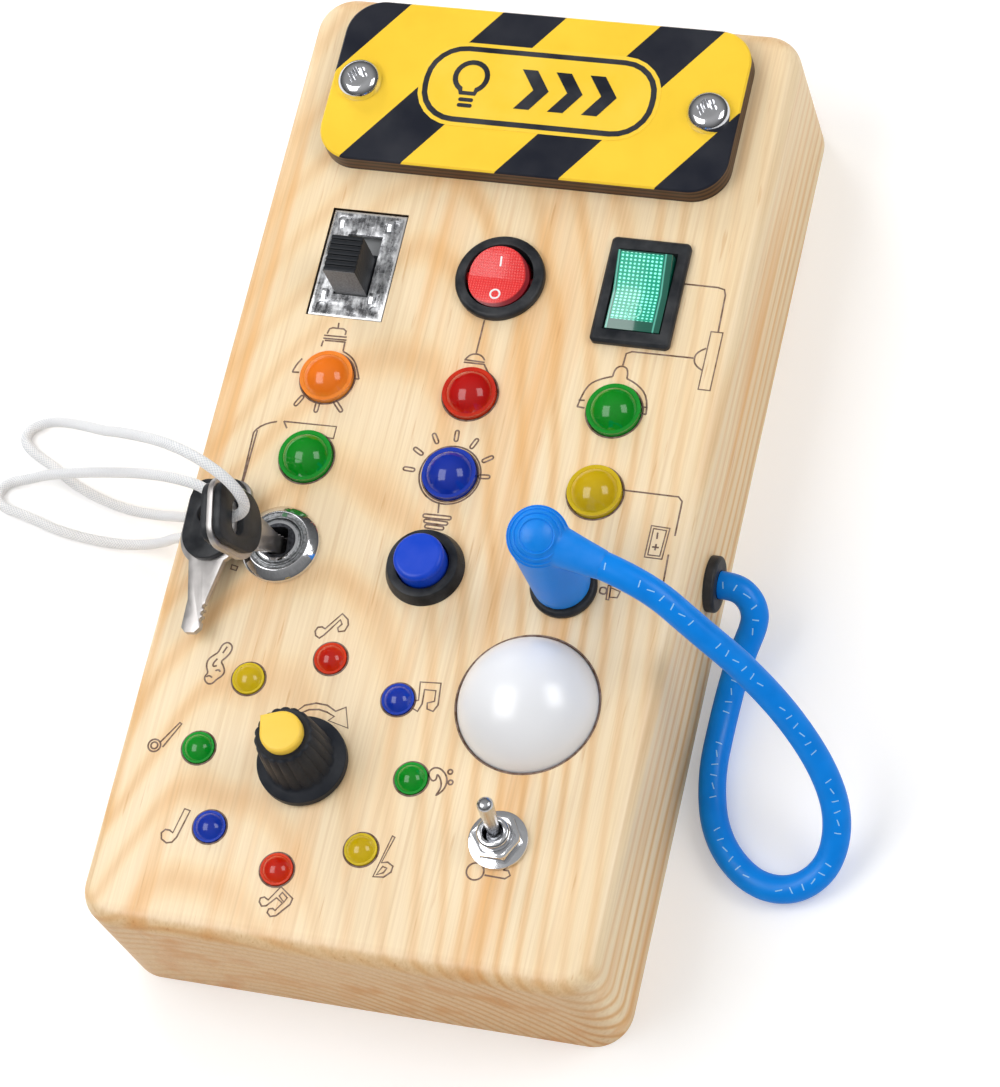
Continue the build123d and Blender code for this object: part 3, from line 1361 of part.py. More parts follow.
# ---------------------------------------------------------------- lamps
lamp_groups = {
    "orange_lamp": (orange_lamps, lamp_diameter, lamp_rise),
    "red_lamp": (red_lamps, lamp_diameter, lamp_rise),
    "green_lamps": (green_lamps, lamp_diameter, lamp_rise),
    "blue_lamp": (blue_lamps, lamp_diameter, lamp_rise),
    "yellow_lamp": (yellow_lamps, lamp_diameter, lamp_rise),
    "red_beads": (red_beads, bead_diameter, bead_rise),
    "blue_beads": (blue_beads, bead_diameter, bead_rise),
    "green_beads": (green_beads, bead_diameter, bead_rise),
    "yellow_beads": (yellow_beads, bead_diameter, bead_rise),
}
for lamp_name, (places, diameter, rise) in lamp_groups.items():
    with BuildPart() as lamp:
        with BuildSketch(Plane.XY.offset(led_floor_z)):
            with Locations(*places):
                Circle(diameter / 2 + lamp_flange_margin)
        extrude(amount=lamp_flange_thickness)
        with BuildSketch(Plane.XY.offset(ceiling_z)):
            with Locations(*places):
                Circle(diameter / 2)
        extrude(amount=front_wall + rise - diameter / 2)
        with Locations(*[(x, y, face_z + rise - diameter / 2) for x, y in places]):
            Sphere(diameter / 2, arc_size1=0)
    lamp.part.label = lamp_name
    export_step(lamp.part, "parts/" + lamp_name + ".step")

with BuildPart() as lamp_leads:
    with BuildSketch(Plane.XY.offset(led_floor_z)):
        for x, y in all_lamps + all_beads:
            with Locations((x - lead_spacing / 2, y), (x + lead_spacing / 2, y)):
                Rectangle(lead_size, lead_size)
    extrude(amount=-lead_length)
lamp_leads.part.label = "lamp_leads"
export_step(lamp_leads.part, "parts/lamp_leads.step")

# ---------------------------------------------------------------- rocker terminals
with BuildPart() as rocker_terminals:
    with BuildSketch(Plane.XY.offset(rocker_bottom_z)):
        with Locations((round_rocker_x, switch_row_y), (right_column_x, switch_row_y)):
            with GridLocations(0, terminal_spacing, 1, 2):
                Rectangle(terminal_width, terminal_thickness)
    extrude(amount=-terminal_length)
rocker_terminals.part.label = "rocker_terminals"
export_step(rocker_terminals.part, "parts/rocker_terminals.step")

# ---------------------------------------------------------------- circuit board and wires
circuit_plane = Plane((circuit_x, circuit_y, cover_thickness))
with BuildPart() as circuit_board:
    with BuildSketch(circuit_plane.offset(circuit_standoff)):
        Rectangle(circuit_width, circuit_length)
    extrude(amount=circuit_thickness)
    # standoffs on the back cover
    with BuildSketch(circuit_plane):
        with GridLocations(circuit_width - circuit_margin, circuit_length - circuit_margin, 2, 2):
            Circle(circuit_margin / 3)
    extrude(amount=circuit_standoff)
    # chip and a row of resistors
    with BuildSketch(circuit_plane.offset(circuit_standoff + circuit_thickness)):
        Rectangle(circuit_length / 2, circuit_length / 3)
        with Locations((0, -circuit_length / 3)):
            with GridLocations(circuit_margin, 0, 6, 1):
                Rectangle(circuit_margin / 3, circuit_margin / 2)
    extrude(amount=circuit_thickness)
circuit_board.part.label = "circuit_board"
export_step(circuit_board.part, "parts/circuit_board.step")

# A wire from the circuit board to each switch, the button and the socket.
wire_start_y = circuit_y + circuit_length / 2 - circuit_margin / 2
wire_start_z = cover_thickness + circuit_standoff + circuit_thickness
rocker_wire_y = switch_row_y - terminal_spacing / 2
wire_ends = [
    (left_column_x - terminal_width / 2, switch_row_y - terminal_spacing, slide_tag_z),
    (round_rocker_x, rocker_wire_y, rocker_bottom_z - terminal_length),
    (right_column_x, rocker_wire_y, rocker_bottom_z - terminal_length),
    (button_center[0], button_center[1], button_bottom_z),
    (socket_center[0], socket_center[1], face_z - socket_depth),
]


def wire_path(number, end_x, end_y, end_z):
    # Up from the board, along it, across to the switch and up to its terminal.
    start_x = circuit_x + wire_pitch * (number - (len(wire_ends) - 1) / 2)
    run_z = wire_start_z + wire_rise + number % 2 * wire_layer
    with BuildLine() as wire:
        FilletPolyline(
            (start_x, wire_start_y, wire_start_z),
            (start_x, wire_start_y, run_z),
            (start_x, end_y, run_z),
            (end_x, end_y, run_z),
            (end_x, end_y, end_z),
            radius=wire_bend,
        )
    return wire.line


wire_paths = [wire_path(number, *end) for number, end in enumerate(wire_ends)]
with BuildPart() as switch_wires:
    for path in wire_paths:
        with BuildSketch(Plane(path @ 0, z_dir=path % 0)):
            Circle(wire_diameter / 2)
        sweep(path=path)
switch_wires.part.label = "switch_wires"
export_step(switch_wires.part, "parts/switch_wires.step")

# ---------------------------------------------------------------- cords
def cord_path(name, route):
    # Straight runs joined by tangent arcs, each as large as its two runs allow.
    points = [Vector(*point) for point in route]
    radii = []
    for before, corner, after in zip(points, points[1:], points[2:]):
        shorter = min((corner - before).length, (after - corner).length)
        turn = math.radians((corner - before).get_angle(after - corner))
        radii.append(arc_share * shorter / math.tan(turn / 2))
    with BuildLine():
        path = FilletPolyline(*route, radius=radii)
    print(name, "length", round(path.length, 1), "radii", [round(radius, 1) for radius in radii])
    return path


cord_floor = cord_diameter / 2 + seat_gap
string_floor = string_diameter / 2 + seat_gap
string_bend_x = -half_width - 6.0
string_end_x = -half_width + 4.0
arm_tip = arm_end + arm_direction * slip_gap
cord_lead = arm_end + arm_direction * cord_lead_length
patch_route = [
    (half_width + grommet_flange_thickness, grommet_y, grommet_z),
    (52.2, grommet_y, grommet_z),
    (54.5, -10.6, 13.5),
    (56.1, -12.3, 12.1),
    (56.5, -14.5, 10.3),
    (54.9, -18.5, 7.4),
    (53.5, -23.0, 4.9),
    (52.6, -31.0, cord_floor),
    (52.6, -42.4, cord_floor),
    (55.8, -53.4, cord_floor),
    (63.6, -60.8, cord_floor),
    (71.6, -61.4, cord_floor),
    (77.4, -56.6, 4.2),
    (78.8, -49.4, 9.4),
    (76.2, -43.2, 16.6),
    (70.2, -37.4, 26.4),
    (62.6, -33.0, 36.2),
    (54.6, -29.8, 44.4),
    (cord_lead.X, cord_lead.Y, cord_lead.Z),
    (arm_tip.X, arm_tip.Y, arm_tip.Z),
]
# The key's string leaves its bow, goes over it to the floor and back into the board.
key_hole = key_plane.from_local_coords((0, key_slot_y, 0))
key_string_end_route = [
    (key_hole.X, key_hole.Y, key_hole.Z),
    (-26.6, -22.8, 53.0),
    (-27.4, -21.0, 61.0),
    (-34.2, -18.0, 64.4),
    (-41.8, -15.2, 61.6),
    (-48.0, -12.4, 56.9),
]
key_string_route = [
    (-48.4, -12.2, 56.5),
    (-56.4, -8.4, 46.5),
    (-65.6, -2.6, 33.5),
    (-75.6, 3.4, 20.6),
    (-84.0, 8.2, 9.6),
    (-90.0, 10.9, 3.0),
    (-94.4, 10.9, string_floor + 0.2),
    (-97.2, 9.2, string_floor),
    (-97.4, 6.6, string_floor),
    (-94.6, 4.6, string_floor),
    (-89.6, 2.4, string_floor),
    (-82.4, -1.6, string_floor),
    (-72.6, -4.7, string_floor),
    (-62.8, -6.4, 4.4),
    (string_bend_x, string_hole_y, string_height),
    (string_end_x, string_hole_y, string_height),
]
spare_hole = spare_key_plane.from_local_coords((0, key_slot_y, 0))
spare_string_route = [
    (spare_hole.X, spare_hole.Y, spare_hole.Z),
    (-36.8, -18.2, 41.0),
    (-38.6, -15.8, 45.2),
    (-46.6, -13.8, 43.2),
    (-55.8, -10.7, 35.6),
    (-65.9, -6.8, 24.6),
    (-77.2, -3.4, 14.0),
    (-87.6, -1.6, 6.0),
    (-95.0, -1.4, string_floor + 0.8),
    (-99.2, -2.0, string_floor),
    (-101.1, -3.8, string_floor),
    (-100.9, -6.3, string_floor),
    (-98.4, -7.6, string_floor),
    (-93.4, -8.4, string_floor),
    (-83.4, -11.1, string_floor),
    (-71.6, -12.2, string_floor),
    (-61.8, -12.2, 4.4),
    (string_bend_x, spare_string_hole_y, string_height),
    (string_end_x, spare_string_hole_y, string_height),
]
strings = {
    "key_string_end": key_string_end_route,
    "key_string": key_string_route,
    "spare_key_string": spare_string_route,
}
for string_name, route in strings.items():
    string_path = cord_path(string_name, route)
    with BuildPart() as string:
        with BuildSketch(Plane(string_path @ 0, z_dir=string_path % 0)):
            Circle(string_diameter / 2)
        sweep(path=string_path)
    string.part.label = string_name
    export_step(string.part, "parts/" + string_name + ".step")

patch_path = cord_path("patch_cord", patch_route)
with BuildPart() as patch_cord:
    with BuildSketch(Plane(patch_path @ 0, z_dir=patch_path % 0)):
        Circle(cord_diameter / 2)
    sweep(path=patch_path)
patch_cord.part.label = "patch_cord"
export_step(patch_cord.part, "parts/patch_cord.step")
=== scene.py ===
import json
import math
import bpy
from mathutils import Matrix, Vector

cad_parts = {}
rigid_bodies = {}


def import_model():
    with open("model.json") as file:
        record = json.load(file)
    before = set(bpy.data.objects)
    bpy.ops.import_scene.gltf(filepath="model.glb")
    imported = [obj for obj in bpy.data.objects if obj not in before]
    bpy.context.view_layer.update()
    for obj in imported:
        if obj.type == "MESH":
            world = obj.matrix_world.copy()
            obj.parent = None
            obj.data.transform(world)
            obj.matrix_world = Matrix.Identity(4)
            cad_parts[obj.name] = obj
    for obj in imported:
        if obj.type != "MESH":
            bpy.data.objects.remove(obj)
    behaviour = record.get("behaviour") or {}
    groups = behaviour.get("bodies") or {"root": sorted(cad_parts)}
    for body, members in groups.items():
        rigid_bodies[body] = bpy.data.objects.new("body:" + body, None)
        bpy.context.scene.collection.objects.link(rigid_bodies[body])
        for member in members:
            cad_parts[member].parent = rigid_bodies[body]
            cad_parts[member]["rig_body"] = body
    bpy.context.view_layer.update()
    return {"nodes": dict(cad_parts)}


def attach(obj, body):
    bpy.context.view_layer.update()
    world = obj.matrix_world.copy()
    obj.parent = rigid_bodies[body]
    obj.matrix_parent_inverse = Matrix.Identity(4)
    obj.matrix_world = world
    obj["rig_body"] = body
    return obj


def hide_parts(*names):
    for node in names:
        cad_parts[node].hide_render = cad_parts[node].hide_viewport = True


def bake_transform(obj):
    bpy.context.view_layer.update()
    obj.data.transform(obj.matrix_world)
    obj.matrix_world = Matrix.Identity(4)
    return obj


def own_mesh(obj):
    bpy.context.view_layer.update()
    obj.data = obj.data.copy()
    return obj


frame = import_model()
nodes = frame["nodes"]
millimetre = 0.001
print("frame loaded", len(nodes), "nodes")


def inMetres(x, y, z):
    return Vector((x, y, z)) * millimetre


def deselectAll():
    bpy.ops.object.select_all(action="DESELECT")


def pick(piece):
    deselectAll()
    piece.select_set(True)
    bpy.context.view_layer.objects.active = piece


def linkObject(name, data):
    made = bpy.data.objects.new(name, data)
    bpy.context.scene.collection.objects.link(made)
    return made


def startEdit():
    bpy.ops.object.mode_set(mode="EDIT")
    bpy.ops.mesh.select_all(action="SELECT")


def endEdit():
    bpy.ops.object.mode_set(mode="OBJECT")


def smoothBelow(angle):
    bpy.ops.object.shade_smooth_by_angle(angle=math.radians(angle))


def applyPlace(piece):
    pick(piece)
    bpy.ops.object.transform_apply(location=True, rotation=True, scale=True)


def addSpline(data, kind, places, isClosed=False):
    spline = data.splines.new(kind)
    spline.points.add(len(places) - 1)
    for point, place in zip(spline.points, places):
        point.co = (*inMetres(*place), 1)
    spline.use_cyclic_u = isClosed
    if kind == "NURBS":
        spline.order_u = 3
        spline.use_endpoint_u = not isClosed


# camera
cameraView = {
    "place": (216.4, -267.0, 672.7),
    "right": (0.9514, 0.2204, -0.2151),
    "up": (-0.1208, 0.9096, 0.3974),
    "back": (0.2833, -0.3520, 0.8920),
    "lens": 133.27,
    "sensor": 36,
    "farthest": 20,
}
cameraData = bpy.data.cameras.new("studioCamera")
cameraData.lens = cameraView["lens"]
cameraData.sensor_width = cameraView["sensor"]
cameraData.clip_end = cameraView["farthest"]
studioCamera = linkObject("studioCamera", cameraData)
turn = Matrix((cameraView["right"], cameraView["up"], cameraView["back"])).transposed().to_4x4()
studioCamera.matrix_world = Matrix.Translation(inMetres(*cameraView["place"])) @ turn
bpy.context.scene.camera = studioCamera


# material helpers
def tint(red, green, blue):
    # screen colour, 0 to 255, as linear light
    def linear(value):
        value = value / 255
        return value / 12.92 if value < 0.04 else ((value + 0.055) / 1.055) ** 2.4

    return (linear(red), linear(green), linear(blue), 1)


bench = {}  # the node tree that is being built


def addNode(kind, settings=None, **inputs):
    made = bench["tree"].nodes.new("ShaderNode" + kind)
    for key, value in (settings or {}).items():
        setattr(made, key, value)
    for key, value in inputs.items():
        spot = int(key[1:]) if key[0] == "n" and key[1:].isdigit() else key.replace("_", " ")
        socket = made.inputs[spot]
        if isinstance(value, bpy.types.NodeSocket):
            bench["tree"].links.new(value, socket)
        else:
            socket.default_value = value
    return made


def startMaterial(name, color, roughness, metallic=0.0, coat=0.0, coatRoughness=0.05, specular=0.5):
    material = bpy.data.materials.new(name)
    material.use_nodes = True
    bench["tree"] = material.node_tree
    shader = material.node_tree.nodes["Principled BSDF"]
    settings = {
        "Base Color": color,
        "Roughness": roughness,
        "Metallic": metallic,
        "Coat Weight": coat,
        "Coat Roughness": coatRoughness,
        "Specular IOR Level": specular,
    }
    for key, value in settings.items():
        shader.inputs[key].default_value = value
    return material, shader


def feed(shader, **links):
    for key, value in links.items():
        bench["tree"].links.new(value, shader.inputs[key.replace("_", " ")])


def objectPlace(scale=(1, 1, 1), move=(0, 0, 0), rotate=(0, 0, 0)):
    coordinates = addNode("TexCoord")
    mapping = addNode("Mapping", Vector=coordinates.outputs["Object"])
    mapping.inputs["Location"].default_value = move
    mapping.inputs["Rotation"].default_value = [math.radians(angle) for angle in rotate]
    mapping.inputs["Scale"].default_value = scale
    return mapping.outputs["Vector"]


def noise(place, scale, detail=3.0, roughness=0.5):
    made = addNode("TexNoise", Vector=place, Scale=scale, Detail=detail, Roughness=roughness)
    return made.outputs["Fac"]


def ramp(value, stops):
    made = addNode("ValToRGB", Fac=value)
    bar = made.color_ramp
    bar.elements[0].position, bar.elements[0].color = stops[0]
    bar.elements[1].position, bar.elements[1].color = stops[-1]
    for position, color in stops[1:-1]:
        bar.elements.new(position).color = color
    return made.outputs["Color"]


def remap(value, fromLow, fromHigh, toLow=0.0, toHigh=1.0):
    made = addNode("MapRange", Value=value, From_Min=fromLow, From_Max=fromHigh, To_Min=toLow, To_Max=toHigh)
    return made.outputs["Result"]


def spread(value, low, high):
    # noise value turned into a range of numbers
    return remap(value, 0.3, 0.7, low, high)


def blendColor(kind, amount, first, second):
    made = addNode("MixRGB", {"blend_type": kind}, Fac=amount, Color1=first, Color2=second)
    return made.outputs["Color"]


def calculate(kind, first, second=0.0, clamp=False):
    made = addNode("Math", {"operation": kind, "use_clamp": clamp}, n0=first, n1=second)
    return made.outputs["Value"]


def plus(first, second):
    return calculate("ADD", first, second)


def minus(first, second):
    return calculate("SUBTRACT", first, second)


def times(first, second):
    return calculate("MULTIPLY", first, second)


def over(first, second):
    return calculate("DIVIDE", first, second)


def isBelow(first, second):
    return calculate("LESS_THAN", first, second)


def isAbove(first, second):
    return calculate("GREATER_THAN", first, second)


def unsigned(value):
    return calculate("ABSOLUTE", value)


def fraction(value):
    return calculate("FRACT", value)


def axes(place):
    return addNode("SeparateXYZ", Vector=place).outputs


waveScale = 0.314  # a wave texture's scale times its pitch


def setBump(shader, height, strength, distance):
    made = addNode("Bump", Height=height, Strength=strength, Distance=distance)
    feed(shader, Normal=made.outputs["Normal"])


def shade(color, share):
    return (color[0] * share, color[1] * share, color[2] * share, 1)


def lighten(color, share):
    return tuple(value + (1 - value) * share for value in color[:3]) + (1,)


def offsets(place, middle):
    # distances in millimetres along X and Y from a point of the face
    split = axes(place)
    return [times(minus(split[axis], middle[axis] * millimetre), 1000.0) for axis in (0, 1)]


def distance(offsetX, offsetY):
    squares = plus(times(offsetX, offsetX), times(offsetY, offsetY))
    return calculate("SQRT", squares)


def within(value, half):
    return isBelow(unsigned(value), half)


def inBox(offsetX, offsetY, half):
    return times(within(offsetX, half[0]), within(offsetY, half[1]))


def dots(offsetX, offsetY, pitchX, pitchY):
    waves = []
    for offset, pitch in ((offsetX, pitchX), (offsetY, pitchY)):
        wave = calculate("SINE", times(offset, math.pi / pitch))
        waves.append(times(wave, wave))
    return times(waves[0], waves[1])


# plain finishes: mottled colour, uneven gloss and a fine grain
finishes = {
    "birch_ply": dict(color=(222, 198, 160), rough=0.6, mottle=0.18, scale=90, grain=900, depth=0.25),
    "black_nylon": dict(color=(30, 33, 38), rough=0.4, mottle=0.1, scale=260, grain=5200, depth=0.16, specular=0.14),
    "knob_black": dict(color=(33, 37, 45), rough=0.46, mottle=0.05, scale=200, grain=5200, depth=0.14, specular=0.12),
    "blue_plastic": dict(
        color=(4, 68, 206), rough=0.32, mottle=0.06, scale=180, grain=2600, depth=0.05, coat=0.1, specular=0.12
    ),
    "red_plastic": dict(color=(236, 52, 50), rough=0.42, mottle=0.08, scale=200, grain=2600, depth=0.1, coat=0.2),
    "yellow_plastic": dict(
        color=(255, 212, 76), rough=0.42, mottle=0.05, scale=160, grain=3200, depth=0.1, specular=0.2
    ),
    "grey_plastic": dict(color=(150, 152, 154), rough=0.5, mottle=0.1, scale=120, grain=2600, depth=0.1),
    "cell_wrap": dict(color=(70, 130, 88), rough=0.35, mottle=0.06, scale=120, grain=2600, depth=0.04, coat=0.4),
    "green_board": dict(color=(34, 120, 62), rough=0.4, mottle=0.14, scale=400, grain=3000, depth=0.08, coat=0.3),
    "bright_chrome": dict(color=(232, 233, 236), rough=0.1, mottle=0.05, scale=300, grain=4200, depth=0.03, metal=1.0),
    "satin_steel": dict(color=(206, 207, 210), rough=0.22, mottle=0.08, scale=500, grain=5200, depth=0.06, metal=1.0),
    "key_steel": dict(color=(186, 182, 180), rough=0.36, mottle=0.1, scale=500, grain=5200, depth=0.1, metal=0.9),
    "spring_steel": dict(color=(180, 182, 184), rough=0.3, mottle=0.1, scale=600, grain=5200, depth=0.05, metal=1.0),
    "zinc_steel": dict(color=(206, 206, 202), rough=0.34, mottle=0.3, scale=700, grain=4800, depth=0.12, metal=0.9),
    "blue_cord": dict(color=(0, 136, 238), rough=0.36, mottle=0.06, scale=220, grain=2600, depth=0.06, specular=0.14),
}


def makeFinish(name, values):
    color = tint(*values["color"])
    rough, mottle = values["rough"], values["mottle"]
    material, shader = startMaterial(
        name, color, rough, values.get("metal", 0.0), values.get("coat", 0.0), specular=values.get("specular", 0.5)
    )
    place = objectPlace()
    patches = noise(place, values["scale"])
    colors = ramp(patches, [(0.3, shade(color, 1 - mottle)), (0.7, lighten(color, mottle / 3))])
    feed(shader, Base_Color=colors, Roughness=spread(patches, rough * 0.85, min(1, rough * 1.2)))
    setBump(shader, noise(place, values["grain"], 2), values["depth"], 0.0002)
    return material


looks = {name: makeFinish(name, values) for name, values in finishes.items()}

# pine: rings round a heart below the back, fibres along the board
pine = {
    "early": tint(250, 229, 194),
    "middle": tint(248, 223, 182),
    "late": tint(242, 203, 150),
    "vein": tint(231, 181, 120),
    "streak": tint(236, 180, 112),
    "fine": tint(230, 196, 150),
    "endGrainAndShade": tint(233, 216, 196),
    "openingShade": tint(52, 34, 20),
    "opening": {"middle": (-26.8, 37.49), "half": (7.7, 11.5), "below": 0.03205},
    "endFrom": 0.0905,
    "endTo": 0.0938,
    "ringPitch": 0.0026,
    "heart": (-0.014, 0, -0.034),
    "tilt": 7.5,
    "turnIn": 3.2,
    "wander": 0.0072,
    "rough": (0.38, 0.5),
    "slow": (26, 9, 26),
    "broad": (30, 5, 30),
    "streaks": (120, 7, 120),
    "streakRange": (0.53, 0.7, 0.0, 0.85),
    "fineLines": (900, 12, 900),
    "fineRange": (0.52, 0.68, 0.0, 0.4),
    "fibres": (2400, 34, 2400),
    "flecks": (1500, 90, 1500),
}


def makePine():
    material, shader = startMaterial("pine", pine["middle"], 0.42, specular=0.35)
    heart = pine["heart"]
    centred = objectPlace(move=(-heart[0], 0, -heart[2]), rotate=(pine["tilt"], 0, pine["turnIn"]))
    slow = addNode("TexNoise", Vector=objectPlace(scale=pine["slow"]), Scale=1.0, Detail=2.0)
    wander = pine["wander"]
    offset = addNode("VectorMath", {"operation": "MULTIPLY"}, n0=slow.outputs["Color"], n1=(wander, 0, wander))
    bent = addNode("VectorMath", {"operation": "ADD"}, n0=centred, n1=offset.outputs["Vector"])
    rings = addNode(
        "TexWave",
        {"wave_type": "RINGS", "rings_direction": "Y", "wave_profile": "SIN"},
        Vector=bent.outputs["Vector"],
        Scale=waveScale / pine["ringPitch"],
        Distortion=0.5,
        Detail=2.0,
        Detail_Scale=0.6,
    )
    stops = [(0.0, pine["early"]), (0.5, pine["middle"]), (0.82, pine["late"]), (1.0, pine["vein"])]
    ringColor = ramp(rings.outputs["Fac"], stops)
    broad = noise(objectPlace(scale=pine["broad"]), 1.0, 2)
    base = blendColor("MIX", spread(broad, 0.15, 0.95), pine["middle"], ringColor)
    streaks = noise(objectPlace(scale=pine["streaks"], move=(2.3, 0.4, 1.1)), 1.0, 2)
    base = blendColor("MIX", remap(streaks, *pine["streakRange"]), base, pine["streak"])
    fineLines = noise(objectPlace(scale=pine["fineLines"], move=(1, 5, 2)), 1.0, 2)
    base = blendColor("MIX", remap(fineLines, *pine["fineRange"]), base, pine["fine"])
    fibres = noise(objectPlace(scale=pine["fibres"]), 1.0, 3, 0.6)
    fibreColor = ramp(fibres, [(0.3, tint(232, 222, 208)), (0.62, (1, 1, 1, 1))])
    color = blendColor("MULTIPLY", 0.45, base, fibreColor)
    flecks = noise(objectPlace(scale=pine["flecks"], move=(3, 1, 2)), 1.0, 2, 0.4)
    fleckColor = ramp(flecks, [(0.68, (1, 1, 1, 1)), (0.76, tint(222, 188, 142))])
    color = blendColor("MULTIPLY", 0.4, color, fleckColor)
    # painted shade: the opening's walls are dark like the shade in the gap, and the ends are darker, partly end grain
    # and partly painted shade
    place = objectPlace()
    split = axes(place)
    offsetX, offsetY = offsets(place, pine["opening"]["middle"])
    inOpening = inBox(offsetX, offsetY, pine["opening"]["half"])
    isLow = isBelow(split["Z"], pine["opening"]["below"])
    color = blendColor("MIX", times(inOpening, isLow), color, pine["openingShade"])
    endShare = remap(unsigned(split["Y"]), pine["endFrom"], pine["endTo"])
    color = blendColor("MULTIPLY", endShare, color, pine["endGrainAndShade"])
    feed(shader, Base_Color=color, Roughness=spread(broad, *pine["rough"]))
    setBump(shader, fibres, 0.1, 0.0003)
    return material


looks["pine"] = makePine()


# lenses: clear dyed plastic with painted light, paler towards its foot (painted darker there on the milky lens)
lenses = {
    "orange_lens": {"top": tint(238, 118, 18), "paintedFootTone": tint(250, 160, 66)},
    "red_lens": {"top": tint(182, 8, 2), "paintedFootTone": tint(226, 62, 14)},
    "green_lens": {"top": tint(0, 134, 24), "paintedFootTone": tint(8, 156, 44)},
    "blue_lens": {"top": tint(14, 46, 158), "paintedFootTone": tint(26, 66, 186)},
    "yellow_lens": {"top": tint(200, 166, 0), "paintedFootTone": tint(220, 194, 30)},
    "milky_lens": {
        "top": tint(240, 241, 244), "paintedFootTone": tint(232, 234, 238), "rough": 0.24, "coat": 0.0, "specular": 0.5,
    },
}
lensCommon = {"rough": 0.16, "coat": 1.0, "specular": 0.1, "paintedFootBand": (0.0322, 0.0352)}


def makeLens(name, values):
    rough, coat, specular = (values.get(key, lensCommon[key]) for key in ("rough", "coat", "specular"))
    material, shader = startMaterial(
        name, values["top"], rough, coat=coat, coatRoughness=0.03, specular=specular
    )
    place = objectPlace()
    # painted light and shade: the colour changes from the foot to the top
    level = remap(axes(place)["Z"], *lensCommon["paintedFootBand"])
    cloud = spread(noise(place, 300, 2), -0.12, 0.12)
    mixed = calculate("ADD", level, cloud, True)
    feed(shader, Base_Color=ramp(mixed, [(0.0, values["paintedFootTone"]), (0.7, values["top"])]))
    setBump(shader, noise(place, 1400, 1), 0.02, 0.0002)
    return material


for lensName, lensValues in lenses.items():
    looks[lensName] = makeLens(lensName, lensValues)


litFace = {
    "middle": (27.65, 37.8),
    "half": (4.05, 6.2),
    "pitch": (0.81, 0.66),
    "side": tint(0, 92, 74),
    "teal": tint(0, 142, 112),
    "mint": tint(140, 250, 226),
    "glow": 0.5,
    "glint": tint(96, 196, 174),
    "glintAway": 0.35,
}


def makeLitFace():
    material, shader = startMaterial("litFace", litFace["teal"], 0.14, coat=1.0, coatRoughness=0.04)
    place = objectPlace()
    offsetX, offsetY = offsets(place, litFace["middle"])
    inWindow = inBox(offsetX, offsetY, litFace["half"])
    spots = dots(offsetX, offsetY, *litFace["pitch"])
    glow = plus(spots, spread(noise(place, 240, 2), -0.2, 0.15))
    grid = ramp(glow, [(0.18, litFace["teal"]), (0.62, litFace["mint"])])
    away = minus(unsigned(offsetX), litFace["half"][0] + litFace["glintAway"])
    edge = ramp(unsigned(away), [(0.06, litFace["glint"]), (0.22, litFace["side"])])
    color = blendColor("MIX", inWindow, edge, grid)
    feed(shader, Base_Color=color, Emission_Color=grid, Emission_Strength=times(inWindow, litFace["glow"]))
    setBump(shader, times(spots, inWindow), 0.15, 0.0002)
    return material


redFace = {
    "middle": (0.45, 37.6),
    "radius": 5.5,
    "pitch": 0.5,
    "coral": tint(232, 44, 44),
    "light": tint(246, 78, 74),
    "rim": tint(128, 4, 22),
    "rimShadeBlur": 0.35,
}


def makeRedFace():
    material, shader = startMaterial(
        "redFace", redFace["coral"], 0.3, coat=0.35, coatRoughness=0.12, specular=0.2
    )
    place = objectPlace()
    offsetX, offsetY = offsets(place, redFace["middle"])
    radius = distance(offsetX, offsetY)
    hatch = dots(offsetX, offsetY, redFace["pitch"], redFace["pitch"])
    face = ramp(hatch, [(0.05, redFace["coral"]), (0.7, redFace["light"])])
    # painted shade: the paddle's rim, beyond the face's radius, is painted dark
    share = remap(radius, redFace["radius"], redFace["radius"] + redFace["rimShadeBlur"])
    feed(shader, Base_Color=blendColor("MIX", share, face, redFace["rim"]))
    inFace = isBelow(radius, redFace["radius"])
    setBump(shader, times(hatch, inFace), 0.3, 0.0002)
    return material


galvanised = {
    "dark": tint(112, 113, 116),
    "middle": tint(190, 191, 194),
    "light": tint(238, 239, 241),
    "edge": tint(250, 250, 250),
    "place": (-26.8, 37.49),
    "half": (6.75, 10.5),
    "rough": (0.2, 0.42),
}


def makeGalvanised():
    material, shader = startMaterial("galvanised", galvanised["middle"], 0.28, metallic=0.85)
    place = objectPlace()
    patches = noise(place, 480, 5, 0.65)
    scratches = noise(objectPlace(scale=(2600, 420, 900), rotate=(0, 0, 24)), 1.0, 3, 0.6)
    mixed = plus(times(patches, 0.65), times(scratches, 0.35))
    color = ramp(mixed, [(0.4, galvanised["dark"]), (0.5, galvanised["middle"]), (0.58, galvanised["light"])])
    # painted highlight: the frame's edges, outside the box round the opening, are bright
    offsetX, offsetY = offsets(place, galvanised["place"])
    inside = inBox(offsetX, offsetY, galvanised["half"])
    color = blendColor("MIX", inside, galvanised["edge"], color)
    feed(shader, Base_Color=color, Roughness=spread(patches, *galvanised["rough"]))
    setBump(shader, mixed, 0.35, 0.0003)
    return material


lockFace = {
    "middle": (-27.303, -20.008),
    "rings": (3.4, 3.95, 5.55),
    "dark": tint(74, 75, 80),
    "grain": tint(158, 160, 162),
    "bright": tint(232, 233, 236),
}


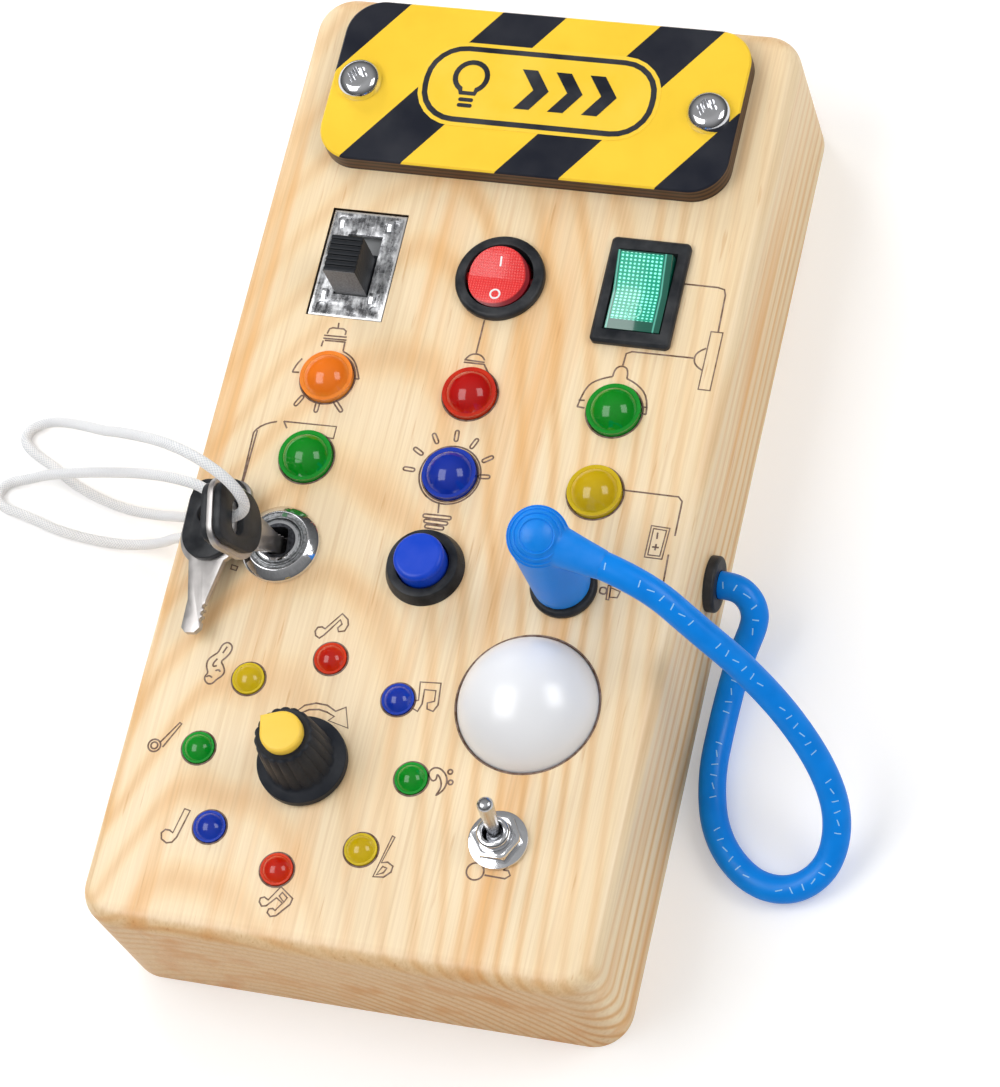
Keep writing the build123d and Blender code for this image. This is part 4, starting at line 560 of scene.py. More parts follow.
def makeLockFace():
    # dark middle, polished ring, cast ring and polished rim, by distance from the lock's middle
    material, shader = startMaterial("lockFace", lockFace["bright"], 0.1, metallic=1.0)
    place = objectPlace()
    radius = distance(*offsets(place, lockFace["middle"]))
    inner, polished, cast = lockFace["rings"]
    isDark = isBelow(radius, inner)
    isCast = times(isAbove(radius, polished), isBelow(radius, cast))
    grain = noise(place, 1900, 3, 0.6)
    castColor = ramp(grain, [(0.38, shade(lockFace["grain"], 0.5)), (0.6, lockFace["grain"])])
    darkColor = ramp(grain, [(0.38, shade(lockFace["dark"], 0.5)), (0.6, lockFace["dark"])])
    color = blendColor("MIX", isCast, lockFace["bright"], castColor)
    color = blendColor("MIX", isDark, color, darkColor)
    isRough = calculate("MAXIMUM", isCast, isDark)
    feed(shader, Base_Color=color, Roughness=plus(times(isRough, 0.34), 0.1))
    setBump(shader, times(grain, isRough), 0.5, 0.0003)
    return material


sliderFace = {"frontBefore": 0.0316, "grey": tint(128, 129, 131), "black": tint(30, 33, 38)}


def makeSliderFace():
    # black, grey on the front part
    material, shader = startMaterial("sliderFace", sliderFace["black"], 0.42, specular=0.2)
    place = objectPlace()
    isFront = isBelow(axes(place)["Y"], sliderFace["frontBefore"])
    grain = noise(place, 2600, 3, 0.6)
    front = ramp(grain, [(0.35, shade(sliderFace["grey"], 0.6)), (0.65, sliderFace["grey"])])
    feed(shader, Base_Color=blendColor("MIX", isFront, sliderFace["black"], front))
    setBump(shader, grain, 0.2, 0.0002)
    return material


looks["sliderFace"] = makeSliderFace()
looks["litFace"] = makeLitFace()
looks["redFace"] = makeRedFace()
looks["galvanised"] = makeGalvanised()
looks["lockFace"] = makeLockFace()
print("finishes made", len(looks))

# striped plate
plate = {
    "yellow": tint(255, 211, 58),
    "dark": tint(28, 31, 42),
    "core": tint(96, 66, 42),
    "coreDark": tint(56, 38, 26),
    "slant": 0.737,
    "middleY": 0.0742,
    "start": -0.0221,
    "pitch": 0.03075,
    "darkShare": 0.404,
    "topZ": 0.0359,
    "layerPitch": 0.0013,
}


def makeStripes():
    material, shader = startMaterial("warning_laminate", plate["yellow"], 0.4, specular=0.2)
    place = objectPlace()
    split = axes(place)
    along = times(minus(split["Y"], plate["middleY"]), plate["slant"])
    across = minus(minus(split["X"], along), plate["start"])
    turns = fraction(plus(over(across, plate["pitch"]), 8.0))  # 8 keeps it above zero
    isDark = isBelow(turns, plate["darkShare"])
    cloud = noise(place, 120, 3)
    yellow = ramp(cloud, [(0.3, shade(plate["yellow"], 0.93)), (0.7, plate["yellow"])])
    dark = ramp(cloud, [(0.3, plate["dark"]), (0.7, lighten(plate["dark"], 0.012))])
    top = blendColor("MIX", isDark, yellow, dark)
    layerScale = waveScale / plate["layerPitch"]
    layers = addNode(
        "TexWave", {"bands_direction": "Z"}, Vector=place, Scale=layerScale, Distortion=0.5, Detail=2.0
    )
    edge = ramp(layers.outputs["Fac"], [(0.35, plate["coreDark"]), (0.65, plate["core"])])
    isTop = isAbove(split["Z"], plate["topZ"])
    color = blendColor("MIX", isTop, edge, top)
    feed(shader, Base_Color=color, Roughness=spread(cloud, 0.28, 0.42))
    setBump(shader, noise(place, 1800, 2), 0.05, 0.0002)
    return material


looks["warning_laminate"] = makeStripes()


# braided string and printed cord, on the tube's own UV map
braid = {"strands": 5.0, "pitch": 1.3, "strandGapShade": tint(206, 209, 216), "white": tint(253, 253, 253)}


def makeBraid():
    material, shader = startMaterial("white_string", tint(246, 246, 246), 0.42)
    shader.inputs["Sheen Weight"].default_value = 0.3
    coordinates = addNode("TexCoord").outputs["UV"]
    parts = []
    split = axes(coordinates)
    for lean in (1, -1):
        around = times(split["Y"], braid["strands"] * 2 * math.pi * lean)
        along = times(split["X"], 2 * math.pi / braid["pitch"])
        parts.append(calculate("SINE", plus(around, along)))
    height = unsigned(times(parts[0], parts[1]))
    # painted shade: the gaps between the strands are darker
    color = ramp(height, [(0.0, braid["strandGapShade"]), (0.22, tint(246, 247, 249)), (1.0, braid["white"])])
    feed(shader, Base_Color=color)
    setBump(shader, height, 0.6, 0.0002)
    return material


looks["white_string"] = makeBraid()

cordPrint = {
    "blue": tint(0, 138, 240),
    "deepBlue": tint(0, 130, 230),
    "color": tint(150, 206, 246),
    "cell": 2.1,
    "kinds": 3.0,
    "cellsInGroup": 8,
    "shownShare": 0.7,
    "girth": 16.0,
    "stroke": 0.1,
    "height": 0.62,
}


def makePrintedCord():
    material, shader = startMaterial("printed_cord", tint(0, 136, 238), 0.36, specular=0.14)
    split = axes(addNode("TexCoord").outputs["UV"])
    # a row of ticks and dashes along the top, in groups
    cells = over(split["X"], cordPrint["cell"])
    index = calculate("FLOOR", cells)
    inCell = times(minus(fraction(cells), 0.5), cordPrint["cell"])
    height = times(minus(split["Y"], 0.5), cordPrint["girth"])
    kind = fraction(over(index, cordPrint["kinds"]))
    isDash = isAbove(kind, 0.5)
    lean = times(height, minus(kind, 0.2))
    tick = isBelow(unsigned(plus(inCell, lean)), cordPrint["stroke"])
    isTall = within(height, cordPrint["height"])
    dash = within(plus(height, times(inCell, 0.3)), cordPrint["stroke"])
    isWide = within(inCell, cordPrint["height"])
    tickMark = times(times(tick, isTall), minus(1.0, isDash))
    dashMark = times(times(dash, isWide), isDash)
    group = fraction(over(index, cordPrint["cellsInGroup"]))
    isShown = isBelow(group, cordPrint["shownShare"])
    mark = times(calculate("MAXIMUM", tickMark, dashMark), isShown)
    place = objectPlace()
    cloud = noise(place, 220, 2)
    blue = ramp(cloud, [(0.3, cordPrint["deepBlue"]), (0.7, cordPrint["blue"])])
    color = blendColor("MIX", mark, blue, cordPrint["color"])
    feed(shader, Base_Color=color, Roughness=spread(cloud, 0.3, 0.4))
    setBump(shader, noise(place, 1600, 2), 0.05, 0.0002)
    return material


looks["printed_cord"] = makePrintedCord()

# finishes on the solids that stay
for nodeName, solid in nodes.items():
    slotName = solid.material_slots[0].material.name.split(".")[0]
    solid["slotName"] = slotName
    if slotName in looks:
        solid.material_slots[0].material = looks[slotName]
    else:
        print("no finish for", slotName, nodeName)


# cords
cord = {"steps": 14, "sides": 6, "topSide": (0.28, -0.35, 0.89)}


def routeCurve(name, route):
    data = bpy.data.curves.new(name, "CURVE")
    data.dimensions = "3D"
    data.resolution_u = cord["steps"]
    addSpline(data, "NURBS", route)
    return linkObject(name, data)


def routePath(curve):
    line = bpy.data.meshes.new_from_object(curve)
    return [tuple(vertex.co) for vertex in line.vertices]


def makeTube(name, route, radius, material):
    # a tube round the route's smooth line, its UV map in millimetres along and turns around
    curve = routeCurve(name, route)
    path = routePath(curve)
    curve.data.bevel_depth = radius
    curve.data.bevel_resolution = cord["sides"]
    curve.data.use_fill_caps = True
    pick(curve)
    bpy.ops.object.convert(target="MESH")
    tube = bpy.context.object
    startEdit()
    bpy.ops.mesh.remove_doubles(threshold=0.000002)
    endEdit()
    smoothBelow(50)
    reach = [0.0]
    for before, after in zip(path, path[1:]):
        reach.append(reach[-1] + (Vector(after) - Vector(before)).length)
    layer = tube.data.uv_layers[0]
    last = len(path) - 1
    for face in tube.data.polygons:
        turns = []
        rings = []
        for index in face.loop_indices:
            corner = tube.data.vertices[tube.data.loops[index].vertex_index].co
            ring = round(layer.data[index].uv[0] * last)
            if (corner - Vector(path[ring])).length > 1.5 * radius:
                ring = 0 if (corner - Vector(path[0])).length < (corner - Vector(path[last])).length else last
            ahead = Vector(path[min(ring + 1, last)]) - Vector(path[max(ring - 1, 0)])
            outward = corner - Vector(path[ring])
            side = ahead.cross(Vector(cord["topSide"])).normalized()
            top = side.cross(ahead).normalized()
            turns.append(math.atan2(outward.dot(side), outward.dot(top)) / (2 * math.pi) + 0.5)
            rings.append(ring)
        if max(turns) - min(turns) > 0.5:
            turns = [value + 1 if value < 0.5 else value for value in turns]
        for index, ring, value in zip(face.loop_indices, rings, turns):
            layer.data[index].uv = (reach[ring] / millimetre, value)
    tube.data.materials.clear()
    tube.data.materials.append(material)
    print(name, "length in mm", round(reach[-1] / millimetre, 1))
    return tube, path, reach[-1]


patchRoute = [
    (49.6, -9.7, 14.2), (52.2, -9.7, 14.2), (54.5, -10.6, 13.5), (56.1, -12.3, 12.1), (56.5, -14.5, 10.3),
    (54.9, -18.5, 7.4), (53.5, -23.0, 4.9), (52.6, -31.0, 2.6), (52.6, -42.4, 2.6), (55.8, -53.4, 2.6),
    (63.6, -60.8, 2.6), (71.6, -61.4, 2.6), (77.4, -56.6, 4.2), (78.8, -49.4, 9.4), (76.2, -43.2, 16.6),
    (70.2, -37.4, 26.4), (62.6, -33.0, 36.2), (54.6, -29.8, 44.4), (46.34, -25.85, 51.16), (38.29, -23.84, 52.48),
]
keyEndRoute = [
    (-48.2, -12.3, 56.73), (-42.3, -15.0, 62.5), (-34.2, -18.0, 64.4), (-27.4, -21.0, 61.0),
    (-26.6, -22.8, 53.0), (-31.01, -23.34, 51.07),
]
keyRoute = [
    (-43.6, -10.0, 15.0), (-53.6, -10.0, 15.0), (-62.8, -6.4, 4.4), (-72.6, -4.7, 1.05), (-82.4, -1.6, 1.05),
    (-88.6, 2.2, 1.05), (-93.4, 4.4, 1.05), (-96.2, 6.5, 1.05), (-96.0, 9.2, 1.05), (-93.4, 10.9, 1.25),
    (-90.0, 10.9, 3.0), (-84.0, 8.2, 9.6), (-75.6, 3.4, 20.6), (-65.6, -2.9, 34.6), (-56.1, -8.7, 49.0),
    (-48.2, -12.3, 56.73),
]
spareRoute = [
    (-43.6, -13.8, 15.0), (-53.6, -13.8, 15.0), (-61.8, -12.2, 4.4), (-71.6, -12.2, 1.05), (-83.4, -11.1, 1.05),
    (-91.6, -8.6, 1.05), (-95.8, -7.8, 1.05), (-98.2, -6.4, 1.05), (-98.4, -3.8, 1.05), (-96.6, -2.0, 1.05),
    (-93.0, -1.4, 1.85), (-87.6, -1.6, 6.0), (-77.2, -3.4, 14.0), (-65.9, -6.8, 24.6), (-55.8, -10.7, 35.6),
    (-46.6, -13.8, 43.2), (-38.6, -15.8, 45.2), (-36.8, -18.2, 41.0), (-39.18, -17.32, 35.8),
]

patchCord, patchPath, patchLength = makeTube("patchCord", patchRoute, 0.00255, looks["printed_cord"])
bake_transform(patchCord)
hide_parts("patch_cord")

keyString, keyPath, keyLength = makeTube("keyString", keyRoute, 0.001, looks["white_string"])
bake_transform(keyString)
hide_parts("key_string")

keyStringEnd, keyEndPath, keyEndLength = makeTube("keyStringEnd", keyEndRoute, 0.001, looks["white_string"])
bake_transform(keyStringEnd)
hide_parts("key_string_end")

spareString, sparePath, spareLength = makeTube("spareString", spareRoute, 0.001, looks["white_string"])
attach(spareString, "root")
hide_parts("spare_key_string")
print("cords made")


# softened copies of the solids
def copySolid(nodeName, pieceName):
    piece = linkObject(pieceName, nodes[nodeName].data.copy())
    pick(piece)
    if piece.data.has_custom_normals:
        bpy.ops.mesh.customdata_custom_splitnormals_clear()
    startEdit()
    bpy.ops.mesh.remove_doubles(threshold=0.000004)
    bpy.ops.mesh.dissolve_limited(angle_limit=math.radians(0.4))
    endEdit()
    return piece


def applyBevel(piece, width):
    pick(piece)
    bevel = piece.modifiers.new("bevel", "BEVEL")
    bevel.width = width
    bevel.segments = 2
    bevel.limit_method = "ANGLE"
    bevel.angle_limit = math.radians(30)
    bevel.harden_normals = False
    bpy.ops.object.modifier_apply(modifier="bevel")


def standFor(piece, nodeName, material, angle=32):
    pick(piece)
    smoothBelow(angle)
    piece.data.materials.clear()
    piece.data.materials.append(material)
    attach(piece, nodes[nodeName]["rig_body"])
    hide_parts(nodeName)


# solid: its copy's name, the width of its softened edges and its finish, where that isn't the slot's own
softened = {
    "wooden_body": ("pineBlock", 0.0),
    "warning_plate": ("stripedPlate", 0.0),
    "plate_screws": ("plateScrews", 0.0, "bright_chrome"),
    "slide_switch_frame": ("slideFrame", 0.00025, "galvanised"),
    "slide_switch_knob": ("slideKnob", 0.0001, "sliderFace"),
    "round_rocker_housing": ("roundBezel", 0.0002),
    "round_rocker_paddle": ("roundPaddle", 0.0004, "redFace"),
    "lit_rocker_housing": ("litBezel", 0.0002),
    "lit_rocker_paddle": ("litPaddle", 0.0005, "litFace"),
    "push_button_body": ("pushBezel", 0.0003),
    "push_button_cap": ("pushCap", 0.0),
    "push_button_spring": ("pushSpring", 0.0),
    "lock_body": ("lockBezel", 0.0002, "lockFace"),
    "lock_cylinder": ("lockCylinder", 0.00015, "lockFace"),
    "key_blade": ("keyPlate", 0.00025),
    "key_grip": ("keyGrip", 0.00035),
    "spare_key_blade": ("spareKeyPlate", 0.00025),
    "spare_key_grip": ("spareKeyGrip", 0.00035),
    "socket_body": ("socketRing", 0.0002),
    "plug_pin": ("plugPin", 0.0),
    "cord_grommet": ("cordGrommet", 0.0002),
    "dome_cover": ("domeCover", 0.0),
    "toggle_bushing": ("toggleBushing", 0.0001),
    "toggle_washer": ("toggleWasher", 0.00015),
    "toggle_nut": ("toggleNut", 0.0002),
    "toggle_lever": ("toggleLever", 0.0, "satin_steel"),
    "selector_nut": ("selectorNut", 0.0002, "bright_chrome"),
    "knob_pointer": ("knobPointer", 0.0),
    "orange_lamp": ("orangeLamp", 0.0),
    "red_lamp": ("redLamp", 0.0, "red_lens"),
    "green_lamps": ("greenLamps", 0.0),
    "blue_lamp": ("blueLamp", 0.0),
    "yellow_lamp": ("yellowLamp", 0.0),
    "red_beads": ("redBeads", 0.0, "red_lens"),
    "blue_beads": ("blueBeads", 0.0),
    "green_beads": ("greenBeads", 0.0),
    "yellow_beads": ("yellowBeads", 0.0),
    "back_cover": ("backCover", 0.0004),
    "back_cover_screws": ("backCoverScrews", 0.0),
    "battery_door": ("batteryDoor", 0.0003),
    "battery_door_screw": ("batteryDoorScrew", 0.0),
}
pieces = {}
for nodeName, (pieceName, width, *finish) in softened.items():
    pieces[pieceName] = copySolid(nodeName, pieceName)
    if width:
        applyBevel(pieces[pieceName], width)
    standFor(pieces[pieceName], nodeName, looks[finish[0] if finish else nodes[nodeName]["slotName"]])
print("softened pieces", len(pieces))


def squashSpring():
    # the spring's copy gets a mesh of its own
    spring = pieces["pushSpring"]
    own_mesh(spring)


squashSpring()


# keys: a thinner plate between thicker covers
keyFrames = {
    "key": {
        "hole": (-31.0129, -23.3444, 51.0667),
        "face": (0.968628, 0.136131, 0.207912),
        "axis": (-0.184515, -0.166473, 0.968628),
    },
    "spare": {
        "hole": (-39.1827, -17.3182, 35.7998),
        "face": (-0.207912, 0, 0.978148),
        "axis": (-0.034137, 0.999391, -0.007256),
    },
}
keyPlateHalf = {"before": 0.9, "after": 0.55, "coverEdge": 1.3, "endFrom": 4.0, "endMore": 0.7}


def thinKey(plate, grip, values):
    hole, face, axis = inMetres(*values["hole"]), Vector(values["face"]), Vector(values["axis"])
    inward = (keyPlateHalf["before"] - keyPlateHalf["after"]) * millimetre
    for vertex in plate.data.vertices:
        depth = (vertex.co - hole).dot(face)
        vertex.co -= face * math.copysign(min(abs(depth), inward), depth)
    for vertex in grip.data.vertices:
        depth = (vertex.co - hole).dot(face)
        if abs(depth) < keyPlateHalf["coverEdge"] * millimetre:
            vertex.co -= face * math.copysign(inward, depth)
        if (vertex.co - hole).dot(axis) > keyPlateHalf["endFrom"] * millimetre:
            vertex.co += axis * keyPlateHalf["endMore"] * millimetre


thinKey(pieces["keyPlate"], pieces["keyGrip"], keyFrames["key"])
thinKey(pieces["spareKeyPlate"], pieces["spareKeyGrip"], keyFrames["spare"])


# turned shapes: the knob and the plug's boot
def turnedShape(name, profile, sides):
    # radius and height pairs from one closed end to the other
    deselectAll()
    radius, height = profile[0]
    bpy.ops.mesh.primitive_circle_add(
        vertices=sides, radius=radius * millimetre, fill_type="NGON", location=(0, 0, height * millimetre)
    )
    shape = bpy.context.object
    shape.name = name
    bpy.ops.object.transform_apply(location=True, rotation=True, scale=True)
    startEdit()
    for nextRadius, nextHeight in profile[1:]:
        bpy.ops.mesh.extrude_region_move(
            TRANSFORM_OT_translate={"value": (0, 0, (nextHeight - height) * millimetre)}
        )
        share = nextRadius / radius
        bpy.ops.transform.resize(value=(share, share, 1))
        radius, height = nextRadius, nextHeight
    bpy.ops.mesh.select_all(action="SELECT")
    bpy.ops.mesh.normals_make_consistent(inside=False)
    endEdit()
    return shape


def settle(shape, place, toward=(0, 0, 1)):
    # turned from +Z towards a direction and moved, all of it in the mesh
    shape.rotation_mode = "XYZ"
    shape.rotation_euler = Vector((0, 0, 1)).rotation_difference(Vector(toward)).to_euler()
    shape.location = inMetres(*place)
    applyPlace(shape)


def joinTo(shape, others):
    pick(shape)
    for other in others:
        other.select_set(True)
    bpy.ops.object.join()


knob = {
    "place": (-12.6045, -60.208, 32.5),
    "sides": 108,
    "flutes": 18,
    "fluteDepth": 0.06,
    "gripFrom": 2.95,
    "gripCore": 5.05,
    "gripTop": 14,
    "profile": [
        (5.0, 9.4), (5.0, 0.0), (7.9, 0.0), (8.15, 0.2), (8.15, 1.7), (7.95, 1.95), (6.7, 2.5), (6.35, 2.7),
        (6.2, 3.0), (6.05, 5.6), (5.7, 9.8), (5.32, 13.5), (5.15, 13.9), (4.75, 14.1), (4.3, 13.95),
    ],
    "pointerShares": (0.81, 0.81, 0.8),
    "pointerTop": 46.9,
    "pointerDrop": 0.38,
}


def makeKnob():
    shape = turnedShape("selectorKnob", knob["profile"], knob["sides"])
    for vertex in shape.data.vertices:
        if vertex.co.z > knob["gripFrom"] * millimetre and vertex.co.xy.length > knob["gripCore"] * millimetre:
            angle = math.atan2(vertex.co.y, vertex.co.x) * knob["flutes"] / 2
            depth = knob["fluteDepth"] * (0.45 + 0.55 * vertex.co.z / (knob["gripTop"] * millimetre))
            share = 1 - depth * (1 - abs(math.cos(angle))) ** 1.3
            vertex.co.x *= share
            vertex.co.y *= share
    settle(shape, knob["place"])
    standFor(shape, "selector_knob", looks["knob_black"], 34)
    pieces["selectorKnob"] = shape
    pick(pieces["knobPointer"])
    x, y, z = knob["place"]
    startEdit()
    bpy.ops.transform.resize(value=knob["pointerShares"], center_override=inMetres(x, y, knob["pointerTop"]))
    bpy.ops.transform.translate(value=(0, 0, -knob["pointerDrop"] * millimetre))
    endEdit()


makeKnob()

boot = {
    "place": (26.5, -20.895, 0),
    "elbow": 54.4,
    "sleeve": [(4.8, 34.0), (5.25, 34.25), (5.3, 36.0), (5.38, 46.0), (5.45, 53.0)],
    "armProfile": [(3.8, 0.0), (3.8, 2.0), (3.5, 5.0), (3.05, 8.6), (2.75, 11.6), (2.6, 12.6), (2.3, 12.7)],
    "topAngles": (6, 22, 38, 54, 68, 80),
    "radius": 5.45,
    "arm": (0.9583, -0.2389, -0.1564),
    "ridgeAxis": (0.20, -0.33, 0.92),
    "ridgeAngles": (34, 48, 62, 76),
    "ridge": 0.2,
    "voxel": 0.3,
}


def makeBoot():
    radius, elbow = boot["radius"], boot["elbow"]
    profile = list(boot["sleeve"])
    for angle in boot["topAngles"]:
        profile.append((radius * math.cos(math.radians(angle)), elbow + radius * math.sin(math.radians(angle))))
    shape = turnedShape("plugBoot", profile, 64)
    settle(shape, boot["place"])
    arm = turnedShape("bootArm", boot["armProfile"], 48)
    x, y, z = boot["place"]
    settle(arm, (x, y, elbow), boot["arm"])
    joinTo(shape, [arm])
    remesh = shape.modifiers.new("remesh", "REMESH")
    remesh.mode = "VOXEL"
    remesh.voxel_size = boot["voxel"] * millimetre
    bpy.ops.object.modifier_apply(modifier="remesh")
    smooth = shape.modifiers.new("smooth", "SMOOTH")
    smooth.factor = 0.6
    smooth.iterations = 10
    bpy.ops.object.modifier_apply(modifier="smooth")
    axis = Vector(boot["ridgeAxis"]).normalized()
    rings = []
    for angle in boot["ridgeAngles"]:
        lean = math.radians(angle)
        deselectAll()
        bpy.ops.mesh.primitive_torus_add(
            major_segments=72, minor_segments=10, major_radius=radius * math.sin(lean) * millimetre,
            minor_radius=boot["ridge"] * millimetre,
        )
        ring = bpy.context.object
        rise = axis * radius * math.cos(lean)
        settle(ring, (x + rise.x, y + rise.y, elbow + rise.z), axis)
        rings.append(ring)
    joinTo(shape, rings)
    standFor(shape, "plug_boot", looks["blue_cord"], 60)
    pieces["plugBoot"] = shape


makeBoot()

# raised tabs on the slide switch's frame
slideTabs = {
    "places": [(-31.7, 45.9), (-22.4, 46.0), (-31.7, 30.9), (-22.4, 30.9)],
    "height": 31.95,
    "size": (1.1, 2.1, 0.7),
    "lean": 14,
    "soften": 0.12,
}


def makeTabs():
    made = []
    width, length, height = (value * millimetre for value in slideTabs["size"])
    for x, y in slideTabs["places"]:
        deselectAll()
        bpy.ops.mesh.primitive_cube_add(size=1)
        tab = bpy.context.object
        startEdit()
        bpy.ops.transform.resize(value=(width, length, height))
        bpy.ops.transform.rotate(value=math.radians(-slideTabs["lean"]), orient_axis="X", center_override=(0, 0, 0))
        bpy.ops.mesh.bevel(offset=slideTabs["soften"] * millimetre, segments=2, affect="EDGES")
        endEdit()
        tab.location = inMetres(x, y, slideTabs["height"])
        applyPlace(tab)
        made.append(tab)
    joinTo(made[0], made[1:])
    made[0].name = "slideTabs"
    made[0].data.materials.append(looks["bright_chrome"])
    pick(made[0])
    smoothBelow(30)
    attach(made[0], "root")


makeTabs()
print("turned shapes and tabs made")

# lines burnt into the face
burnt = {"color": tint(112, 68, 28), "halfWidth": 0.23, "sink": 0.12, "faceZ": 32.2}


def makeBurntLook():
    material, shader = startMaterial("burntLine", burnt["color"], 0.8)
    cloud = noise(objectPlace(), 900, 3)
    color = ramp(cloud, [(0.3, shade(burnt["color"], 0.7)), (0.7, lighten(burnt["color"], 0.16))])
    feed(shader, Base_Color=color)
    setBump(shader, cloud, 0.3, 0.0002)
    return material


looks["burntLine"] = makeBurntLook()


def ringPoints(x, y, radius, count=12, start=0.0, sweep=360.0):
    closed = sweep == 360.0
    steps = count if closed else count - 1
    angles = [math.radians(start + sweep * step / steps) for step in range(count)]
    return [(x + radius * math.cos(angle), y + radius * math.sin(angle)) for angle in angles]


def capsulePoints(x1, y1, x2, y2, half=0.36):
    # outline of a short rounded bar
    lean = math.degrees(math.atan2(y2 - y1, x2 - x1))
    return ringPoints(x2, y2, half, 5, lean - 90, 180) + ringPoints(x1, y1, half, 5, lean + 90, 180)


def rayPoints(x, y, centreX, centreY, half=0.75):
    # a short bar that points at a lamp
    away = Vector((x - centreX, y - centreY)).normalized() * half
    return capsulePoints(x - away.x, y - away.y, x + away.x, y + away.y)


openLines = [
    [(-27.4, 25.2), (-27.3, 24.2)],
    [(-29.1, 22.8), (-28.9, 23.8), (-28.3, 24.1), (-26.2, 24.1), (-25.6, 23.7), (-25.6, 22.9)],
    [(-29.6, 22.4), (-25.2, 22.5)], [(-29.6, 21.8), (-25.1, 21.9)], [(-29.2, 21.4), (-25.2, 21.5)],
    [(-29.5, 21.3), (-29.6, 20.1)], [(-25.3, 21.5), (-25.2, 19.7)], [(-22.3, 14.5), (-20.8, 14.4)],
    [(-33.8, 14.3), (-32.5, 14.4)], [(0, 29.0), (0, 22.2)], [(-1.9, 20.7), (2.0, 20.6)],
    [(-1.9, 20.2), (2.0, 20.2)], [(35.4, 40.6), (41.8, 40.6), (43.1, 40.3), (43.5, 39.2), (43.7, 31.8)],
    [(40.3, 26.1), (28.8, 26.0), (27.8, 25.5), (27.7, 23.1)], [(21.1, 15.3), (22.2, 15.4)],
    [(34.0, 15.4), (32.3, 15.4)], [(22.5, 13.9), (21.1, 14.0)], [(31.9, 14.3), (34.0, 14.0)],
    [(32.5, -1.1), (43.3, -1.1), (44.1, -1.9), (44.2, -8.6)], [(41.0, -8.4), (41.1, -9.6)],
    [(40.6, -11.2), (41.8, -11.2)], [(41.2, -10.6), (41.2, -11.8)], [(43.8, -12.3), (44.0, -17.7)],
    [(-37.5, 1.9), (-37.6, -8.7)], [(-37.8, -8.4), (-38.1, 1.4)], [(0, -7.8), (0.3, -9.9)],
    [(-32.9, 4.3), (-22.7, 4.5), (-22.7, 2.1), (-24.3, 2.1)], [(-32.9, 4.3), (-32.0, 3.0)],
    [(-32.3, -40.6), (-32.8, -41.9)], [(24.4, -75.5), (28.1, -75.6), (28.9, -74.9), (28.4, -74.1), (27.5, -74.1)],
    [(-40.0, -60.2), (-37.3, -56.0), (-36.9, -56.2), (-39.3, -61.0)],
]
openCurves = [
    [(-25.2, 19.6), (-23.4, 18.9), (-21.8, 17.0), (-20.8, 14.4)],
    [(-32.6, 17.2), (-33.5, 16.0), (-33.8, 14.3)],
    [(-1.7, 20.8), (-1.3, 21.7), (0, 22.2), (1.4, 21.8), (1.9, 21.0)],
    [(2.0, 20.2), (3.3, 18.4), (4.6, 16.7), (5.0, 15.6)],
    [(42.2, 28.3), (40.6, 27.4), (40.4, 25.7), (41.1, 24.5), (42.3, 23.9)],
    [(26.3, 20.7), (26.3, 22.3), (27.6, 23.1), (29.0, 22.4), (29.0, 20.6)],
    [(26.3, 20.7), (24.0, 20.0), (21.6, 18.0), (21.1, 14.0)],
    [(29.0, 20.6), (31.3, 19.8), (33.8, 17.1), (34.0, 14.0)],
    [(-38.1, 1.4), (-37.3, 3.3), (-34.2, 4.1)],
    [(-33.5, -43.1), (-34.1, -43.9), (-34.0, -44.8), (-33.3, -44.4)],
    [(-33.3, -45.4), (-32.6, -44.9), (-32.4, -45.5)],
    [(-34.7, -46.8), (-34.2, -46.2), (-33.6, -46.8)],
]
